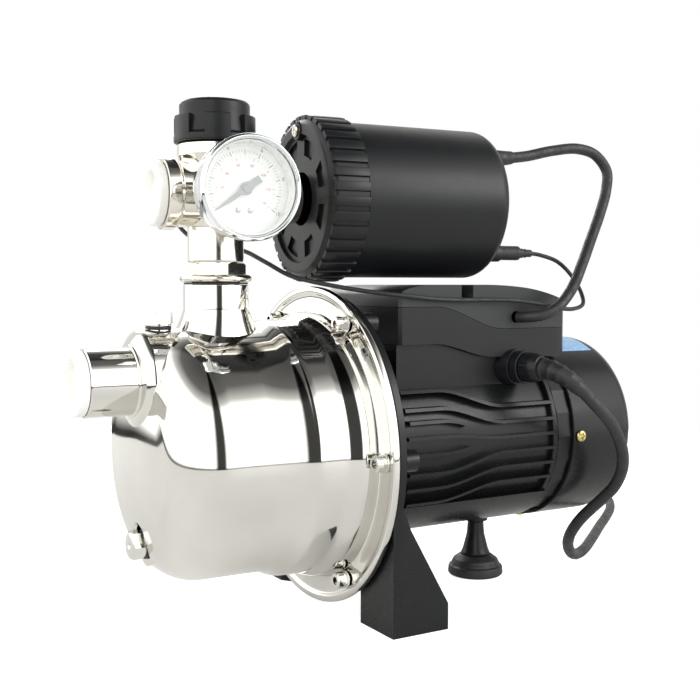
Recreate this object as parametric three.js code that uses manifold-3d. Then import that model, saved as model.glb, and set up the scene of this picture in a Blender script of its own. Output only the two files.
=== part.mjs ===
// Self-priming shallow well jet pump with a five-way fitting, pressure gauge and electronic controller.
// Millimetres, +Z up. The pump shaft runs along X: suction port at -X, motor fan at +X.
// While it is built, X = 0 is the back face of the casing flange and Z = 0 is the floor.

import * as THREE from 'three';
import { mergeVertices } from 'three/addons/utils/BufferGeometryUtils.js';
import Module from 'manifold-3d';

const wasm = await Module();
wasm.setup();

// ---- driving dimensions -------------------------------------------------------------------------

const GAP = 0.3; // clearance between touching pieces
const AXIS_Z = 112; // shaft height above the floor

const CASING_R = 81.5;
const CASING_FRONT_X = -131.5;
const DOME_CORNER_R = 34;
const CASING_WALL = 2.5;
const FLANGE_R = 109;
const FLANGE_THICK = 3.2;
const BOLT_CIRCLE_R = 97.5;
const BOLT_COUNT = 6;

const PORT_R = 21.5; // G1 sockets
const PORT_BORE_R = 16.5;
const SUCTION_Z = 161;
const SUCTION_TIP_X = -164;
const PAD_FRONT_X = -133.4;
const PAD_ROOT_X = -98;
const NECK_X = -74;
const NECK_TOP_Z = 222;

const FILL_X = -114;
const FILL_SEAT_Z = 193.6;
const DRAIN_Z = 56;
const DRAIN_SEAT_X = -124;
const PLUG_BORE_R = 6;
const PLUG_AF = 17;

const BRACKET_R = 105;
const BRACKET_FRONT_X = 2;
const BRACKET_BACK_X = 8;
const LEG_OUTER_Y = 98;
const LEG_INNER_Y = 50;
const LEG_LENGTH = 44;

const MOTOR_FRONT_X = 28;
const MOTOR_REAR_X = 164;
const MOTOR_R = 67.6; // over the fins
const MOTOR_CORE_R = 62;
const MOTOR_BORE_R = 58;
const COVER_FRONT_X = 177;
const COVER_REAR_X = 238;
const COVER_R = 68.5;
const COVER_WALL = 2.5;

const SHAFT_R = 9;
const BEARING_R = 20;
const BEARING_W = 12;
const FRONT_BEARING_X = 12;
const REAR_BEARING_X = 160;

const BOX_X0 = 36;
const BOX_X1 = 187;
const BOX_HALF_Y = 52;
const GLAND_BASE = [133.6, -52, 163.5];
const GLAND_TURN = THREE.MathUtils.degToRad(15);
const GLAND_LENGTH = 24;

const FOOT_X = 140;
const FOOT_PAD_R = 21;

const FITTING_Z = 280;
const FITTING_YAW = THREE.MathUtils.degToRad(-4); // how far the fitting is screwed past square
const OUTLET_REACH = 37;
const OUTLET_BORE_END = 14;
const GAUGE_FRONT = 69;
const GAUGE_R = 32.2;
const COLLAR_FRONT = 58.5;
const COLLAR_REAR = 86;
const COLLAR_R = 56;
const CONTROLLER_R = 53;
const CONTROLLER_REAR = 199;

const CORD_R = 4.3;
const CONTROLLER_CABLE_R = 4;
const SENSOR_CABLE_R = 1.5;

// ---- materials ----------------------------------------------------------------------------------

const look = (color, roughness, metalness) => new THREE.MeshStandardMaterial({ color, roughness, metalness });

const STAINLESS = look(0xdcdbd6, 0.08, 1);
const NICKEL = look(0xe4ddcb, 0.15, 1);
const CHROME = look(0xd8dadd, 0.05, 1);
const STEEL = look(0x9a9a98, 0.35, 1);
const ZINC = look(0xc9bd84, 0.3, 1);
const BRASS = look(0xb59a55, 0.3, 1);
const COPPER = look(0xa8622f, 0.4, 1);
const BLACK_PAINT = look(0x17181a, 0.35, 0.2);
const BLACK_PLASTIC = look(0x1d1f22, 0.4, 0);
const BLACK_RUBBER = look(0x141414, 0.75, 0);
const WHITE_PLASTIC = look(0xf2f2ef, 0.4, 0);
const GREY_PLASTIC = look(0x8b8d90, 0.5, 0);
const CLEAR = new THREE.MeshStandardMaterial({ color: 0xffffff, roughness: 0.05, transparent: true, opacity: 0.3 });

// ---- solids -------------------------------------------------------------------------------------

function signedVolume(position, triangles) {
  const a = new THREE.Vector3();
  const b = new THREE.Vector3();
  const c = new THREE.Vector3();
  let total = 0;
  for (let i = 0; i < triangles.length; i += 3) {
    a.fromArray(position, 3 * triangles[i]);
    b.fromArray(position, 3 * triangles[i + 1]);
    c.fromArray(position, 3 * triangles[i + 2]);
    total += a.dot(b.cross(c));
  }
  return total;
}

// A closed three.js geometry as a manifold-3d solid, with shared vertices merged and faces outward.
function solidOf(geometry) {
  const bare = geometry.clone();
  bare.deleteAttribute('normal');
  bare.deleteAttribute('uv');
  const merged = mergeVertices(bare, 1e-4);
  const position = merged.attributes.position.array;
  const index = merged.index.array;
  const triangles = [];
  for (let i = 0; i < index.length; i += 3) {
    const [a, b, c] = [index[i], index[i + 1], index[i + 2]];
    if (a !== b && b !== c && c !== a) {
      triangles.push(a, b, c);
    }
  }
  if (signedVolume(position, triangles) < 0) {
    triangles.reverse();
  }
  return new wasm.Manifold(new wasm.Mesh({
    numProp: 3,
    vertProperties: Float32Array.from(position),
    triVerts: Uint32Array.from(triangles),
  }));
}

function geometryOf(solid) {
  const mesh = solid.getMesh();
  const geometry = new THREE.BufferGeometry();
  geometry.setAttribute('position', new THREE.BufferAttribute(new Float32Array(mesh.vertProperties), 3));
  geometry.setIndex(new THREE.BufferAttribute(new Uint32Array(mesh.triVerts), 1));
  geometry.computeVertexNormals();
  return geometry;
}

function piece(name, solid, material) {
  const mesh = new THREE.Mesh(geometryOf(solid), material);
  mesh.name = name;
  return mesh;
}

const union = (...solids) => solids.reduce((whole, next) => whole.add(next));
const cut = (solid, ...tools) => tools.reduce((whole, tool) => whole.subtract(tool), solid);

// Axis frames: each matrix stands a shape drawn in XY, with its depth along Z, onto a world axis.
const STAND = {
  x: new THREE.Matrix4().makeBasis(
    new THREE.Vector3(0, 1, 0), new THREE.Vector3(0, 0, 1), new THREE.Vector3(1, 0, 0)),
  y: new THREE.Matrix4().makeBasis(
    new THREE.Vector3(1, 0, 0), new THREE.Vector3(0, 0, 1), new THREE.Vector3(0, -1, 0)),
  z: new THREE.Matrix4(),
};

// Turns a lathe's own axis, Y, onto a world axis.
const LATHE_TURN = {
  x: new THREE.Matrix4().makeRotationZ(-Math.PI / 2),
  y: new THREE.Matrix4(),
  z: new THREE.Matrix4().makeRotationX(Math.PI / 2),
};

// Revolves [along, radius] points round a world axis through centre.
function revolve(axis, profile, segments, centre = [0, 0, 0]) {
  const points = profile.map(([along, radius]) => new THREE.Vector2(radius, along));
  const geometry = new THREE.LatheGeometry(points, segments);
  geometry.applyMatrix4(LATHE_TURN[axis]);
  geometry.translate(...centre);
  return solidOf(geometry);
}

function ring(axis, from, to, outer, inner, segments, centre) {
  const profile = [[from, inner], [from, outer], [to, outer], [to, inner], [from, inner]];
  return revolve(axis, profile, segments, centre);
}

function rod(axis, from, to, radius, segments, centre) {
  return revolve(axis, [[from, 0], [from, radius], [to, radius], [to, 0]], segments, centre);
}

// Extrudes an outline between two stations of a world axis: 'x' draws (Y, Z), 'y' (X, Z), 'z' (X, Y).
function prism(axis, outline, from, to) {
  const shape = new THREE.Shape(outline.map(([u, v]) => new THREE.Vector2(u, v)));
  const geometry = new THREE.ExtrudeGeometry(shape, { depth: to - from, bevelEnabled: false });
  geometry.translate(0, 0, axis === 'y' ? -to : from);
  geometry.applyMatrix4(STAND[axis]);
  return solidOf(geometry);
}

function box(x0, x1, y0, y1, z0, z1) {
  const geometry = new THREE.BoxGeometry(x1 - x0, y1 - y0, z1 - z0);
  geometry.translate((x0 + x1) / 2, (y0 + y1) / 2, (z0 + z1) / 2);
  return solidOf(geometry);
}

function polygon(sides, radius, turn = 0, centre = [0, 0]) {
  return Array.from({ length: sides }, (_, i) => {
    const angle = turn + (2 * Math.PI * i) / sides;
    return [centre[0] + radius * Math.cos(angle), centre[1] + radius * Math.sin(angle)];
  });
}

const hexRadius = (acrossFlats) => acrossFlats / Math.sqrt(3);

function arc(centreX, centreR, radius, fromDeg, toDeg, steps) {
  return Array.from({ length: steps + 1 }, (_, i) => {
    const angle = THREE.MathUtils.degToRad(fromDeg + ((toDeg - fromDeg) * i) / steps);
    return [centreX + radius * Math.cos(angle), centreR + radius * Math.sin(angle)];
  });
}

// A smooth step from one height to another between two stations.
function ease(x, x0, x1, a, b) {
  const t = THREE.MathUtils.clamp((x - x0) / (x1 - x0), 0, 1);
  return a + (b - a) * t * t * (3 - 2 * t);
}

// A cable: a round section of few sides swept along hand-placed points.
function cable(points, radius, sides, steps) {
  const curve = new THREE.CatmullRomCurve3(points.map((p) => new THREE.Vector3(...p)), false, 'centripetal');
  const section = new THREE.Shape(polygon(sides, radius).map(([u, v]) => new THREE.Vector2(u, v)));
  const geometry = new THREE.ExtrudeGeometry(section, { steps, extrudePath: curve });
  return solidOf(geometry);
}

const onAxis = [0, 0, AXIS_Z];
const atAngle = (radius, angle) => [-radius * Math.cos(angle), AXIS_Z + radius * Math.sin(angle)];

// ---- hydraulic end ------------------------------------------------------------------------------

const domeCentreX = CASING_FRONT_X + 2.3 + DOME_CORNER_R;
const domeCentreR = CASING_R - DOME_CORNER_R;

function pumpCasing() {
  const innerCorner = DOME_CORNER_R - CASING_WALL;
  const shell = revolve('x', [
    [CASING_FRONT_X, 0],
    ...arc(domeCentreX, domeCentreR, DOME_CORNER_R, 180, 90, 4),
    [-50, 82],
    [-42, 86.2],
    [-24, 86.6],
    [-14, 90.4],
    [-FLANGE_THICK - 0.6, 91.2],
    [-FLANGE_THICK, 103.5],
    [-FLANGE_THICK - 1.6, 104.5],
    [-FLANGE_THICK - 1.6, FLANGE_R],
    [0, FLANGE_R],
    [0, 84.5],
    [-42, 83.6],
    [-50, 79.4],
    ...arc(domeCentreX, domeCentreR, innerCorner, 90, 180, 2),
    [CASING_FRONT_X + CASING_WALL, 0],
  ], 32, onAxis);
  const suctionAt = [0, 0, SUCTION_Z];
  const neckAt = [NECK_X, 0, 0];
  const fillAt = [FILL_X, 0, 0];
  const drainAt = [0, 0, DRAIN_Z];
  const added = union(
    shell,
    suctionPad(0),
    rod('x', SUCTION_TIP_X, -127.5, PORT_R, 20, suctionAt),
    rod('z', 186, NECK_TOP_Z, PORT_R, 20, neckAt),
    revolve('z', [[186, 0], [186, 30], [193, 27], [206, PORT_R], [206, 0]], 20, neckAt),
    rod('z', 184, FILL_SEAT_Z, 8.4, 12, fillAt),
    rod('x', DRAIN_SEAT_X, DRAIN_SEAT_X + 6, 13.4, 12, drainAt),
  );
  const boltHoles = boltAngles().map((angle) => {
    const [y, z] = atAngle(BOLT_CIRCLE_R, angle);
    return rod('x', -8, 1, 3.4, 8, [0, y, z]);
  });
  return cut(
    added,
    revolve('x', [[-140, 0], [-140, 14.5], [DRAIN_SEAT_X - 3, 12.4], [DRAIN_SEAT_X, 12.4], [DRAIN_SEAT_X, 0]], 12, drainAt),
    suctionPad(CASING_WALL),
    rod('x', SUCTION_TIP_X - 1, -120, PORT_BORE_R, 16, suctionAt),
    rod('z', 170, NECK_TOP_Z + 1, PORT_BORE_R, 16, neckAt),
    rod('z', 176, FILL_SEAT_Z + 1, PLUG_BORE_R, 10, fillAt),
    rod('x', DRAIN_SEAT_X - 1, DRAIN_SEAT_X + 8, PLUG_BORE_R, 10, drainAt),
    ...boltHoles,
  );
}

// The flat round the suction port, carried back as a short drum until it meets the dome.
function suctionPad(inset) {
  const front = PAD_FRONT_X + inset;
  return revolve('x', [
    [front, 0], [front, 26 - inset], [front + 3.4, 32 - inset], [PAD_ROOT_X - inset, 33 - inset], [PAD_ROOT_X - inset, 0],
  ], 20, [0, 0, SUCTION_Z]);
}

function boltAngles() {
  return Array.from({ length: BOLT_COUNT }, (_, i) => (i * 2 * Math.PI) / BOLT_COUNT);
}

// A hexagon plug standing on its seal: its underside at seat, its shank going the other way.
function hexPlug(axis, seat, outward, centre) {
  const hex = polygon(6, hexRadius(PLUG_AF), 0);
  const height = 7.6 * outward;
  const washer = 1.4 * outward;
  const shank = -8 * outward;
  const [low, high] = [seat + washer, seat + washer + height].sort((a, b) => a - b);
  const head = prism(axis, hex, low, high);
  const [flangeLow, flangeHigh] = [seat, seat + washer].sort((a, b) => a - b);
  const [shankLow, shankHigh] = [seat + shank, seat].sort((a, b) => a - b);
  const offset = axis === 'x' ? [0, centre[1], centre[2]] : [centre[0], centre[1], 0];
  return union(
    head.translate(offset),
    rod(axis, flangeLow, flangeHigh, 8.6, 12, centre),
    rod(axis, shankLow, shankHigh, PLUG_BORE_R - 0.4, 10, centre),
  );
}

const SEAL_THICK = 1.6;

function fillPlug() {
  return hexPlug('z', FILL_SEAT_Z + SEAL_THICK + 2 * GAP, 1, [FILL_X, 0, 0]);
}

function fillPlugSeal() {
  const from = FILL_SEAT_Z + GAP;
  return ring('z', from, from + SEAL_THICK, 8.2, PLUG_BORE_R, 12, [FILL_X, 0, 0]);
}

function drainPlug() {
  return hexPlug('x', DRAIN_SEAT_X - SEAL_THICK - 2 * GAP, -1, [0, 0, DRAIN_Z]);
}

function drainPlugSeal() {
  const to = DRAIN_SEAT_X - GAP;
  return ring('x', to - SEAL_THICK, to, 9.6, PLUG_BORE_R, 12, [0, 0, DRAIN_Z]);
}

// A push-in cap for a bore along X: a cup whose mouth faces -X, with a lip over the rim.
function threadCap(rimX, lipR, plugR, centre) {
  return revolve('x', [
    [rimX + 13, 0],
    [rimX + 13, plugR],
    [rimX - GAP, plugR],
    [rimX - GAP, lipR],
    [rimX - 5.5, lipR],
    [rimX - 7, lipR - 1.5],
    [rimX - 7, plugR - 1.5],
    [rimX - 1, plugR - 2],
    [rimX - 1, 0],
  ], 16, centre);
}

function dischargeNipple() {
  const seat = NECK_TOP_Z + 1.8;
  const hexTop = 236;
  const centre = [NECK_X, 0, 0];
  const hex = prism('z', polygon(6, hexRadius(34), Math.PI / 6, [NECK_X, 0]), seat + 4.8, hexTop);
  const body = union(
    hex,
    revolve('z', [[seat, 0], [seat, 22.2], [seat + 1.2, 23.7], [seat + 3.4, 23.7], [seat + 4.8, 22], [seat + 4.8, 0]],
      32, centre),
    rod('z', NECK_TOP_Z - 16, seat, PORT_BORE_R - 0.5, 16, centre),
    rod('z', hexTop, hexTop + 10, 14.2, 16, centre),
  );
  return cut(body, rod('z', NECK_TOP_Z - 18, hexTop + 12, 11.5, 12, centre));
}

function neckSeal() {
  return ring('z', NECK_TOP_Z + GAP, NECK_TOP_Z + 1.5, 21, 17.2, 20, [NECK_X, 0, 0]);
}

function casingGasket() {
  return ring('x', GAP, BRACKET_FRONT_X - GAP, 93, 85.5, 24, onAxis);
}

function flangeBolt(angle) {
  const [y, z] = atAngle(BOLT_CIRCLE_R, angle);
  const seat = -FLANGE_THICK - 0.6 - GAP;
  const headFrom = seat - 8;
  return revolve('x', [
    [headFrom, 0], [headFrom, 5.3], [seat - 1.2, 5.3], [seat - 1.2, 5.8], [seat, 5.8], [seat, 2.9], [13, 2.9], [13, 0],
  ], 12, [0, y, z]);
}

function jetNozzle() {
  return revolve('x', [
    [-125, 10], [-125, 14], [-116, 14], [-100, 6], [-96, 6], [-96, 3.5], [-100, 3.5], [-116, 10], [-125, 10],
  ], 16, onAxis);
}

function venturiTube() {
  return revolve('x', [
    [-102, 12], [-102, 16], [-96, 16], [-90, 11], [-72, 11], [-50, 16], [-46, 16],
    [-46, 13], [-50, 12.5], [-72, 6], [-90, 6], [-98, 12], [-102, 12],
  ], 16, onAxis);
}

function diffuser() {
  const shell = revolve('x', [
    [-54, 16.4], [-54, 30], [-50, 68], [-44, 72], [-18, 72], [-18, 69], [-44, 69], [-51, 28],
    [-51, 16.4], [-54, 16.4],
  ], 16, onAxis);
  const vane = prism('x', [[56, -2], [70.5, 10], [70.5, 13], [56, 1]], -40, -19);
  const carrier = ring('x', -22, -19, 70, 55, 16, onAxis);
  const vanes = Array.from({ length: 6 }, (_, i) => vane.rotate([60 * i, 0, 0]).translate(onAxis));
  return union(shell, carrier, ...vanes);
}

function impeller() {
  const vane = prism('x', [[12, -3], [30, 4], [48, 20], [30, 7], [12, 0]], -42, -28);
  const body = union(
    revolve('x', [
      [-45, 16], [-45, 19], [-43, 51], [-41, 51], [-43, 19], [-43, 16], [-45, 16],
    ], 16, onAxis),
    rod('x', -29, -26, 51, 16, onAxis),
    rod('x', -34, -24, 13, 16, onAxis),
    ...Array.from({ length: 6 }, (_, i) => vane.rotate([60 * i, 0, 0]).translate(onAxis)),
  );
  return cut(body, rod('x', -50, -20, 7.3, 16, onAxis));
}

// ---- shaft seal, bracket and bearings -----------------------------------------------------------

function sealHead() {
  return revolve('x', [
    [-23, 7.4], [-23, 11], [-19, 11], [-17.5, 13], [-10, 13], [-8, 10.5], [-8, 7.4], [-23, 7.4],
  ], 16, onAxis);
}

function sealSeat() {
  return ring('x', -7.6, -2.2, 14.6, 9.6, 16, onAxis);
}

function motorBracket() {
  const plate = revolve('x', [
    [-9, 15], [-9, 24], [BRACKET_FRONT_X, 27], [BRACKET_FRONT_X, BRACKET_R],
    [BRACKET_BACK_X, BRACKET_R], [BRACKET_BACK_X, 80], [16, 72], [MOTOR_FRONT_X - GAP, 66],
    [MOTOR_FRONT_X - GAP, 61], [BRACKET_BACK_X, 70], [BRACKET_BACK_X, 30], [26, 26], [26, BEARING_R + GAP],
    [FRONT_BEARING_X - GAP, BEARING_R + GAP], [FRONT_BEARING_X - GAP, 15], [4, SHAFT_R + 1], [-1.9, SHAFT_R + 1],
    [-1.9, 15], [-9, 15],
  ], 32, onAxis);
  const spokes = Array.from({ length: 4 }, (_, i) =>
    prism('x', [[25, -2.5], [70, -2.5], [70, 2.5], [25, 2.5]], 7, 14).rotate([45 + 90 * i, 0, 0]).translate(onAxis));
  const bosses = boltAngles().map((angle) => {
    const [y, z] = atAngle(BOLT_CIRCLE_R, angle);
    return rod('x', BRACKET_BACK_X - 1, 18, 7, 10, [0, y, z]);
  });
  const side = [[2, 0], [LEG_LENGTH, 0], [LEG_LENGTH, 17], [15, 68], [8, 86], [2, 86]];
  const plan = [
    [2, LEG_OUTER_Y], [2, LEG_INNER_Y + 8], [8, LEG_INNER_Y], [LEG_LENGTH, LEG_INNER_Y], [LEG_LENGTH, LEG_OUTER_Y],
  ];
  const leg = prism('y', side, -LEG_OUTER_Y, -LEG_INNER_Y)
    .intersect(prism('z', plan.map(([x, y]) => [x, -y]), -1, 90));
  const farLeg = leg.mirror([0, 1, 0]);
  const frontClear = rod('x', -20, BRACKET_FRONT_X, 130, 32, onAxis).subtract(rod('x', -21, 3, 30, 20, onAxis));
  const holes = boltAngles().map((angle) => {
    const [y, z] = atAngle(BOLT_CIRCLE_R, angle);
    return rod('x', 1, 15, 3.4, 8, [0, y, z]);
  });
  return cut(union(plate, ...spokes, ...bosses, leg, farLeg), frontClear, ...holes);
}

function bearing(from) {
  const to = from + BEARING_W;
  return ring('x', from, to, BEARING_R, SHAFT_R + GAP, 20, onAxis);
}

function motorShaft() {
  return revolve('x', [
    [-50, 0], [-50, 6], [-46, 7], [-8, 7], [-7, 8.2], [11, 8.2], [11.4, SHAFT_R], [30, SHAFT_R], [36, 10.5],
    [150, 10.5], [152, SHAFT_R], [184, SHAFT_R], [185, 7], [212, 7], [212, 0],
  ], 16, onAxis);
}

// ---- motor --------------------------------------------------------------------------------------

function rotorCore() {
  return revolve('x', [
    [56, 24], [56, 34], [62, 36], [62, 37.2], [126, 37.2], [126, 36], [132, 34], [132, 24], [128, 20],
    [128, 10.8], [60, 10.8], [60, 20], [56, 24],
  ], 16, onAxis);
}

function statorCore() {
  return revolve('x', [
    [46, 41], [46, 53], [62, 53], [62, MOTOR_BORE_R - GAP], [126, MOTOR_BORE_R - GAP], [126, 53], [142, 53], [142, 41],
    [126, 41], [126, 38], [62, 38], [62, 41], [46, 41],
  ], 24, onAxis);
}

// Fin heights at the pump end and at the fan end; the bend lies between the two stations.
const FIN_BEND_X0 = 64;
const FIN_BEND_X1 = 116;
const FIN_PATHS = [
  { x0: 34, x1: 163, front: 150, rear: 137.5 },
  { x0: 34, x1: 166, front: 138.3, rear: 126.3 },
  { x0: 36, x1: 84, front: 130, rear: 118 },
  { x0: 34, x1: 168, front: 119.6, rear: 115.8 },
  { x0: 36, x1: 84, front: 108, rear: 116 },
  { x0: 36, x1: 168, front: 94.8, rear: 105.2 },
  { x0: 36, x1: 167, front: 84, rear: 94.4 },
  { x0: 40, x1: 164, front: 72.6, rear: 83.4 },
];
const FIN_THICK = 2.2;

function finOutline({ x0, x1, front, rear }) {
  const end = Math.min(x1, MOTOR_REAR_X - 2);
  const stations = [x0, FIN_BEND_X0, 80, 100, FIN_BEND_X1, end].filter((x) => x >= x0 && x <= end);
  if (!stations.includes(end)) {
    stations.push(end);
  }
  const heights = stations.map((x) => [x, ease(x, FIN_BEND_X0, FIN_BEND_X1, front, rear)]);
  const upper = heights.map(([x, z]) => [x, z + FIN_THICK / 2]);
  const lower = heights.map(([x, z]) => [x, z - FIN_THICK / 2]);
  return [...lower, ...upper.reverse()];
}

function motorHousing() {
  const fins = union(...FIN_PATHS.map((path) => prism('y', finOutline(path), -75, 75)))
    .intersect(rod('x', MOTOR_FRONT_X, MOTOR_REAR_X, MOTOR_R, 32, onAxis));
  const belly = rod('x', MOTOR_FRONT_X, MOTOR_REAR_X, MOTOR_R, 32, onAxis)
    .intersect(box(20, 190, -80, 80, 30, 71));
  const seam = boxSeam(-GAP);
  const pedestal = prism('y', [[BOX_X0, 150], [150, 150], ...seam.filter(([x]) => x <= 150).reverse()],
    -BOX_HALF_Y + 4, BOX_HALF_Y - 4)
    .subtract(glandRod(-16, 2, 13.2, 24));
  const ends = union(
    rod('x', MOTOR_FRONT_X, MOTOR_FRONT_X + 4, 66, 32, onAxis),
    rod('x', MOTOR_REAR_X - 4, MOTOR_REAR_X, 66, 32, onAxis),
  );
  const outside = union(
    rod('x', MOTOR_FRONT_X, MOTOR_REAR_X, MOTOR_CORE_R, 32, onAxis),
    fins,
    belly,
    pedestal,
    ends,
    rod('z', 42, 52, 9, 12, [FOOT_X, 0, 0]),
  );
  return cut(
    outside,
    rod('x', MOTOR_FRONT_X - 1, MOTOR_REAR_X + 1, MOTOR_BORE_R, 32, onAxis),
    rod('z', 160, 200, 9, 10, [60, 0, 0]),
  );
}

function rearEndShield() {
  const from = MOTOR_REAR_X + GAP;
  const profile = [
    [from, 30], [from, 66], [COVER_FRONT_X - GAP, 66], [COVER_FRONT_X - GAP, 65.3], [COVER_FRONT_X + 9, 65.3],
    [COVER_FRONT_X + 9, 61], [from + 8, 61], [from + 8, 30], [REAR_BEARING_X + BEARING_W + 5, 26],
    [REAR_BEARING_X + BEARING_W + 5, SHAFT_R + 1], [REAR_BEARING_X + BEARING_W + GAP, SHAFT_R + 1],
    [REAR_BEARING_X + BEARING_W + GAP, BEARING_R + GAP], [REAR_BEARING_X - 2, BEARING_R + GAP],
    [REAR_BEARING_X - 2, 26], [from, 30],
  ];
  const holes = coverScrewAngles().map((angle) => radialRod(55, 70, 2.4, angle));
  return cut(revolve('x', profile, 24, onAxis), ...holes);
}

const COVER_SCREW_X = COVER_FRONT_X + 6;
const coverScrewAngles = () => [0, Math.PI, 1.5 * Math.PI]; // none at the top, under the terminal box

// A rod standing out from the shaft axis, at an angle measured from -Y towards up.
function radialRod(from, to, radius, angle, sides = 12) {
  return rod('z', from, to, radius, sides)
    .rotate([90 - THREE.MathUtils.radToDeg(angle), 0, 0])
    .translate([COVER_SCREW_X, 0, AXIS_Z]);
}

function coverScrew(angle) {
  return union(
    radialRod(58, COVER_R + 0.3, 1.9, angle),
    radialRod(COVER_R + 0.3, COVER_R + 2.6, 4.3, angle, 16),
  );
}

function fanCover() {
  const corner = 12;
  const cornerX = COVER_REAR_X - corner;
  const shell = revolve('x', [
    [COVER_FRONT_X, COVER_R - COVER_WALL], [COVER_FRONT_X, COVER_R],
    ...arc(cornerX, COVER_R - corner, corner, 90, 0, 4),
    [COVER_REAR_X, 0], [COVER_REAR_X - COVER_WALL, 0],
    ...arc(cornerX, COVER_R - corner, corner - COVER_WALL, 0, 90, 2),
    [COVER_FRONT_X, COVER_R - COVER_WALL],
  ], 32, onAxis);
  const slot = prism('x', [[20, -2.2], [50, -4], [50, 4], [20, 2.2]], COVER_REAR_X - 6, COVER_REAR_X + 2);
  const slots = Array.from({ length: 8 }, (_, i) => slot.rotate([45 * i, 0, 0]).translate(onAxis));
  const holes = coverScrewAngles().map((angle) => radialRod(64, 72, 2.3, angle));
  return cut(shell, ...slots, ...holes);
}

function coolingFan() {
  const blade = prism('x', [[12, -1.2], [56, -1.2], [56, 1.2], [12, 1.2]], 196, 214);
  const blades = Array.from({ length: 8 }, (_, i) => blade.rotate([45 * i, 0, 0]).translate(onAxis));
  const body = union(rod('x', 190, 197, 56, 16, onAxis), rod('x', 190, 216, 14, 16, onAxis), ...blades);
  return cut(body, rod('x', 189, 213, 7.3, 16, onAxis));
}

function rearFootPost() {
  const centre = [FOOT_X, 0, 0];
  return union(
    revolve('z', [[16, 0], [16, 11.5], [32, 6.6], [41.6, 6], [41.6, 0]], 16, centre),
    rod('z', 5, 16, 4, 8, centre),
  );
}

function rearFootPad() {
  const body = revolve('z', [
    [0, 0], [0, FOOT_PAD_R - 1.5], [1.5, FOOT_PAD_R], [7, FOOT_PAD_R - 0.6], [8, 18.5], [12, 17], [15.6, 12], [15.6, 0],
  ], 20, [FOOT_X, 0, 0]);
  return cut(body, rod('z', 4.5, 17, 4 + GAP, 8, [FOOT_X, 0, 0]));
}

// ---- terminal box -------------------------------------------------------------------------------

// The S-shaped seams, from the pump end to the fan end, in (X, Z).
function boxSeam(offset) {
  const xs = [BOX_X0, FIN_BEND_X0, 80, 100, FIN_BEND_X1, 150];
  return xs.map((x) => [x, ease(x, FIN_BEND_X0, FIN_BEND_X1, 181.5, 171) + offset]);
}

function lidSeam(offset) {
  const xs = [BOX_X0, 66, 85, 105, 124, BOX_X1];
  return xs.map((x) => [x, ease(x, 66, 124, 207, 191) + offset]);
}

function boxPlan(inset) {
  const [x0, x1, y] = [BOX_X0 + inset, BOX_X1 - inset, BOX_HALF_Y - inset];
  const corner = 14 - inset;
  return [
    [x0, -y], [x1 - corner, -y], [x1 - 0.3 * corner, -y + 0.3 * corner], [x1, -y + corner],
    [x1, y - corner], [x1 - 0.3 * corner, y - 0.3 * corner], [x1 - corner, y], [x0, y],
  ];
}

function terminalBox() {
  const bottom = boxSeam(0);
  const top = lidSeam(-GAP);
  const outline = [...bottom, [BOX_X1 - 12, 169], [BOX_X1, 173], ...top.reverse()];
  const outside = prism('y', outline, -60, 60).intersect(prism('z', boxPlan(0), 140, 240));
  const boss = glandRod(-14, 3.4, 12.8, 24);
  const cavity = prism('y', [[42, 186], [66, 186], [116, 176], [140, 184], [180, 184], [180, 240], [42, 240]], -47, 47);
  return cut(
    union(outside, boss),
    rod('x', 20, 159.5, MOTOR_CORE_R + GAP, 30, onAxis),
    rod('x', 159.5, 200, COVER_R + 0.8, 30, onAxis),
    cavity,
    glandRod(-15, 4, 6.4, 16),
    rod('z', 150, 200, 8, 10, [60, 0, 0]),
  );
}

function terminalBoxLid() {
  const outline = [...lidSeam(0), [BOX_X1, 206], [176, 213], [150, 219.5], [120, 222], [56, 222], [BOX_X0, 218]];
  const under = [...lidSeam(-5), [BOX_X1, 203], [176, 209.5], [150, 216], [120, 218.5], [56, 218.5], [BOX_X0, 215]];
  const outside = prism('y', outline, -60, 60).intersect(prism('z', boxPlan(0), 140, 240));
  const inside = prism('y', under, -60, 60).intersect(prism('z', boxPlan(3.5), 140, 240));
  const notches = LID_SCREW_SIDES.map((side) => rod('z', 213, 230, 5, 10, lidScrewAt(side)));
  const bosses = LID_SCREW_SIDES.map((side) => rod('z', 204, 221, 7, 10, lidScrewAt(side)).intersect(outside));
  const holes = LID_SCREW_SIDES.map((side) => rod('z', 190, 230, 2.4, 8, lidScrewAt(side)));
  const entry = rod('y', -BOX_HALF_Y - 2, -BOX_HALF_Y + 5, CONTROLLER_CABLE_R + GAP, 10, [CABLE_ENTRY[0], 0, CABLE_ENTRY[2]]);
  return cut(union(outside.subtract(inside), ...bosses), ...notches, ...holes, entry);
}

const LID_SCREW_SIDES = [-1, 1];
const lidScrewAt = (side) => [92, side * 40, 0];
const CABLE_ENTRY = [135.5, -BOX_HALF_Y, 199];

function lidScrew(side) {
  return union(
    rod('z', 213 + GAP, 216.5, 4.2, 10, lidScrewAt(side)),
    rod('z', 192, 213 + GAP, 2, 8, lidScrewAt(side)),
  );
}

function capacitor() {
  return revolve('x', [[98, 0], [98, 13.5], [154, 13.5], [154, 0]], 16, [0, 18, 198.4]);
}

// A rod along the cable gland's axis, which leans from -Y towards +X.
function glandRod(from, to, radius, sides) {
  return rod('y', -to, -from, radius, sides)
    .rotate([0, 0, THREE.MathUtils.radToDeg(GLAND_TURN)])
    .translate(GLAND_BASE);
}

function glandLathe(profile, sides) {
  return revolve('y', profile.map(([along, radius]) => [-along, radius]), sides)
    .rotate([0, 0, THREE.MathUtils.radToDeg(GLAND_TURN)])
    .translate(GLAND_BASE);
}

function cableGland() {
  const inside = CORD_R + 0.6;
  return glandLathe([
    [-9, inside], [-9, 6], [3.7, 6], [3.7, 11.8], [10, 11.8], [10, 8.8], [14, 8.6], [14, inside], [-9, inside],
  ], 24);
}

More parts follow.
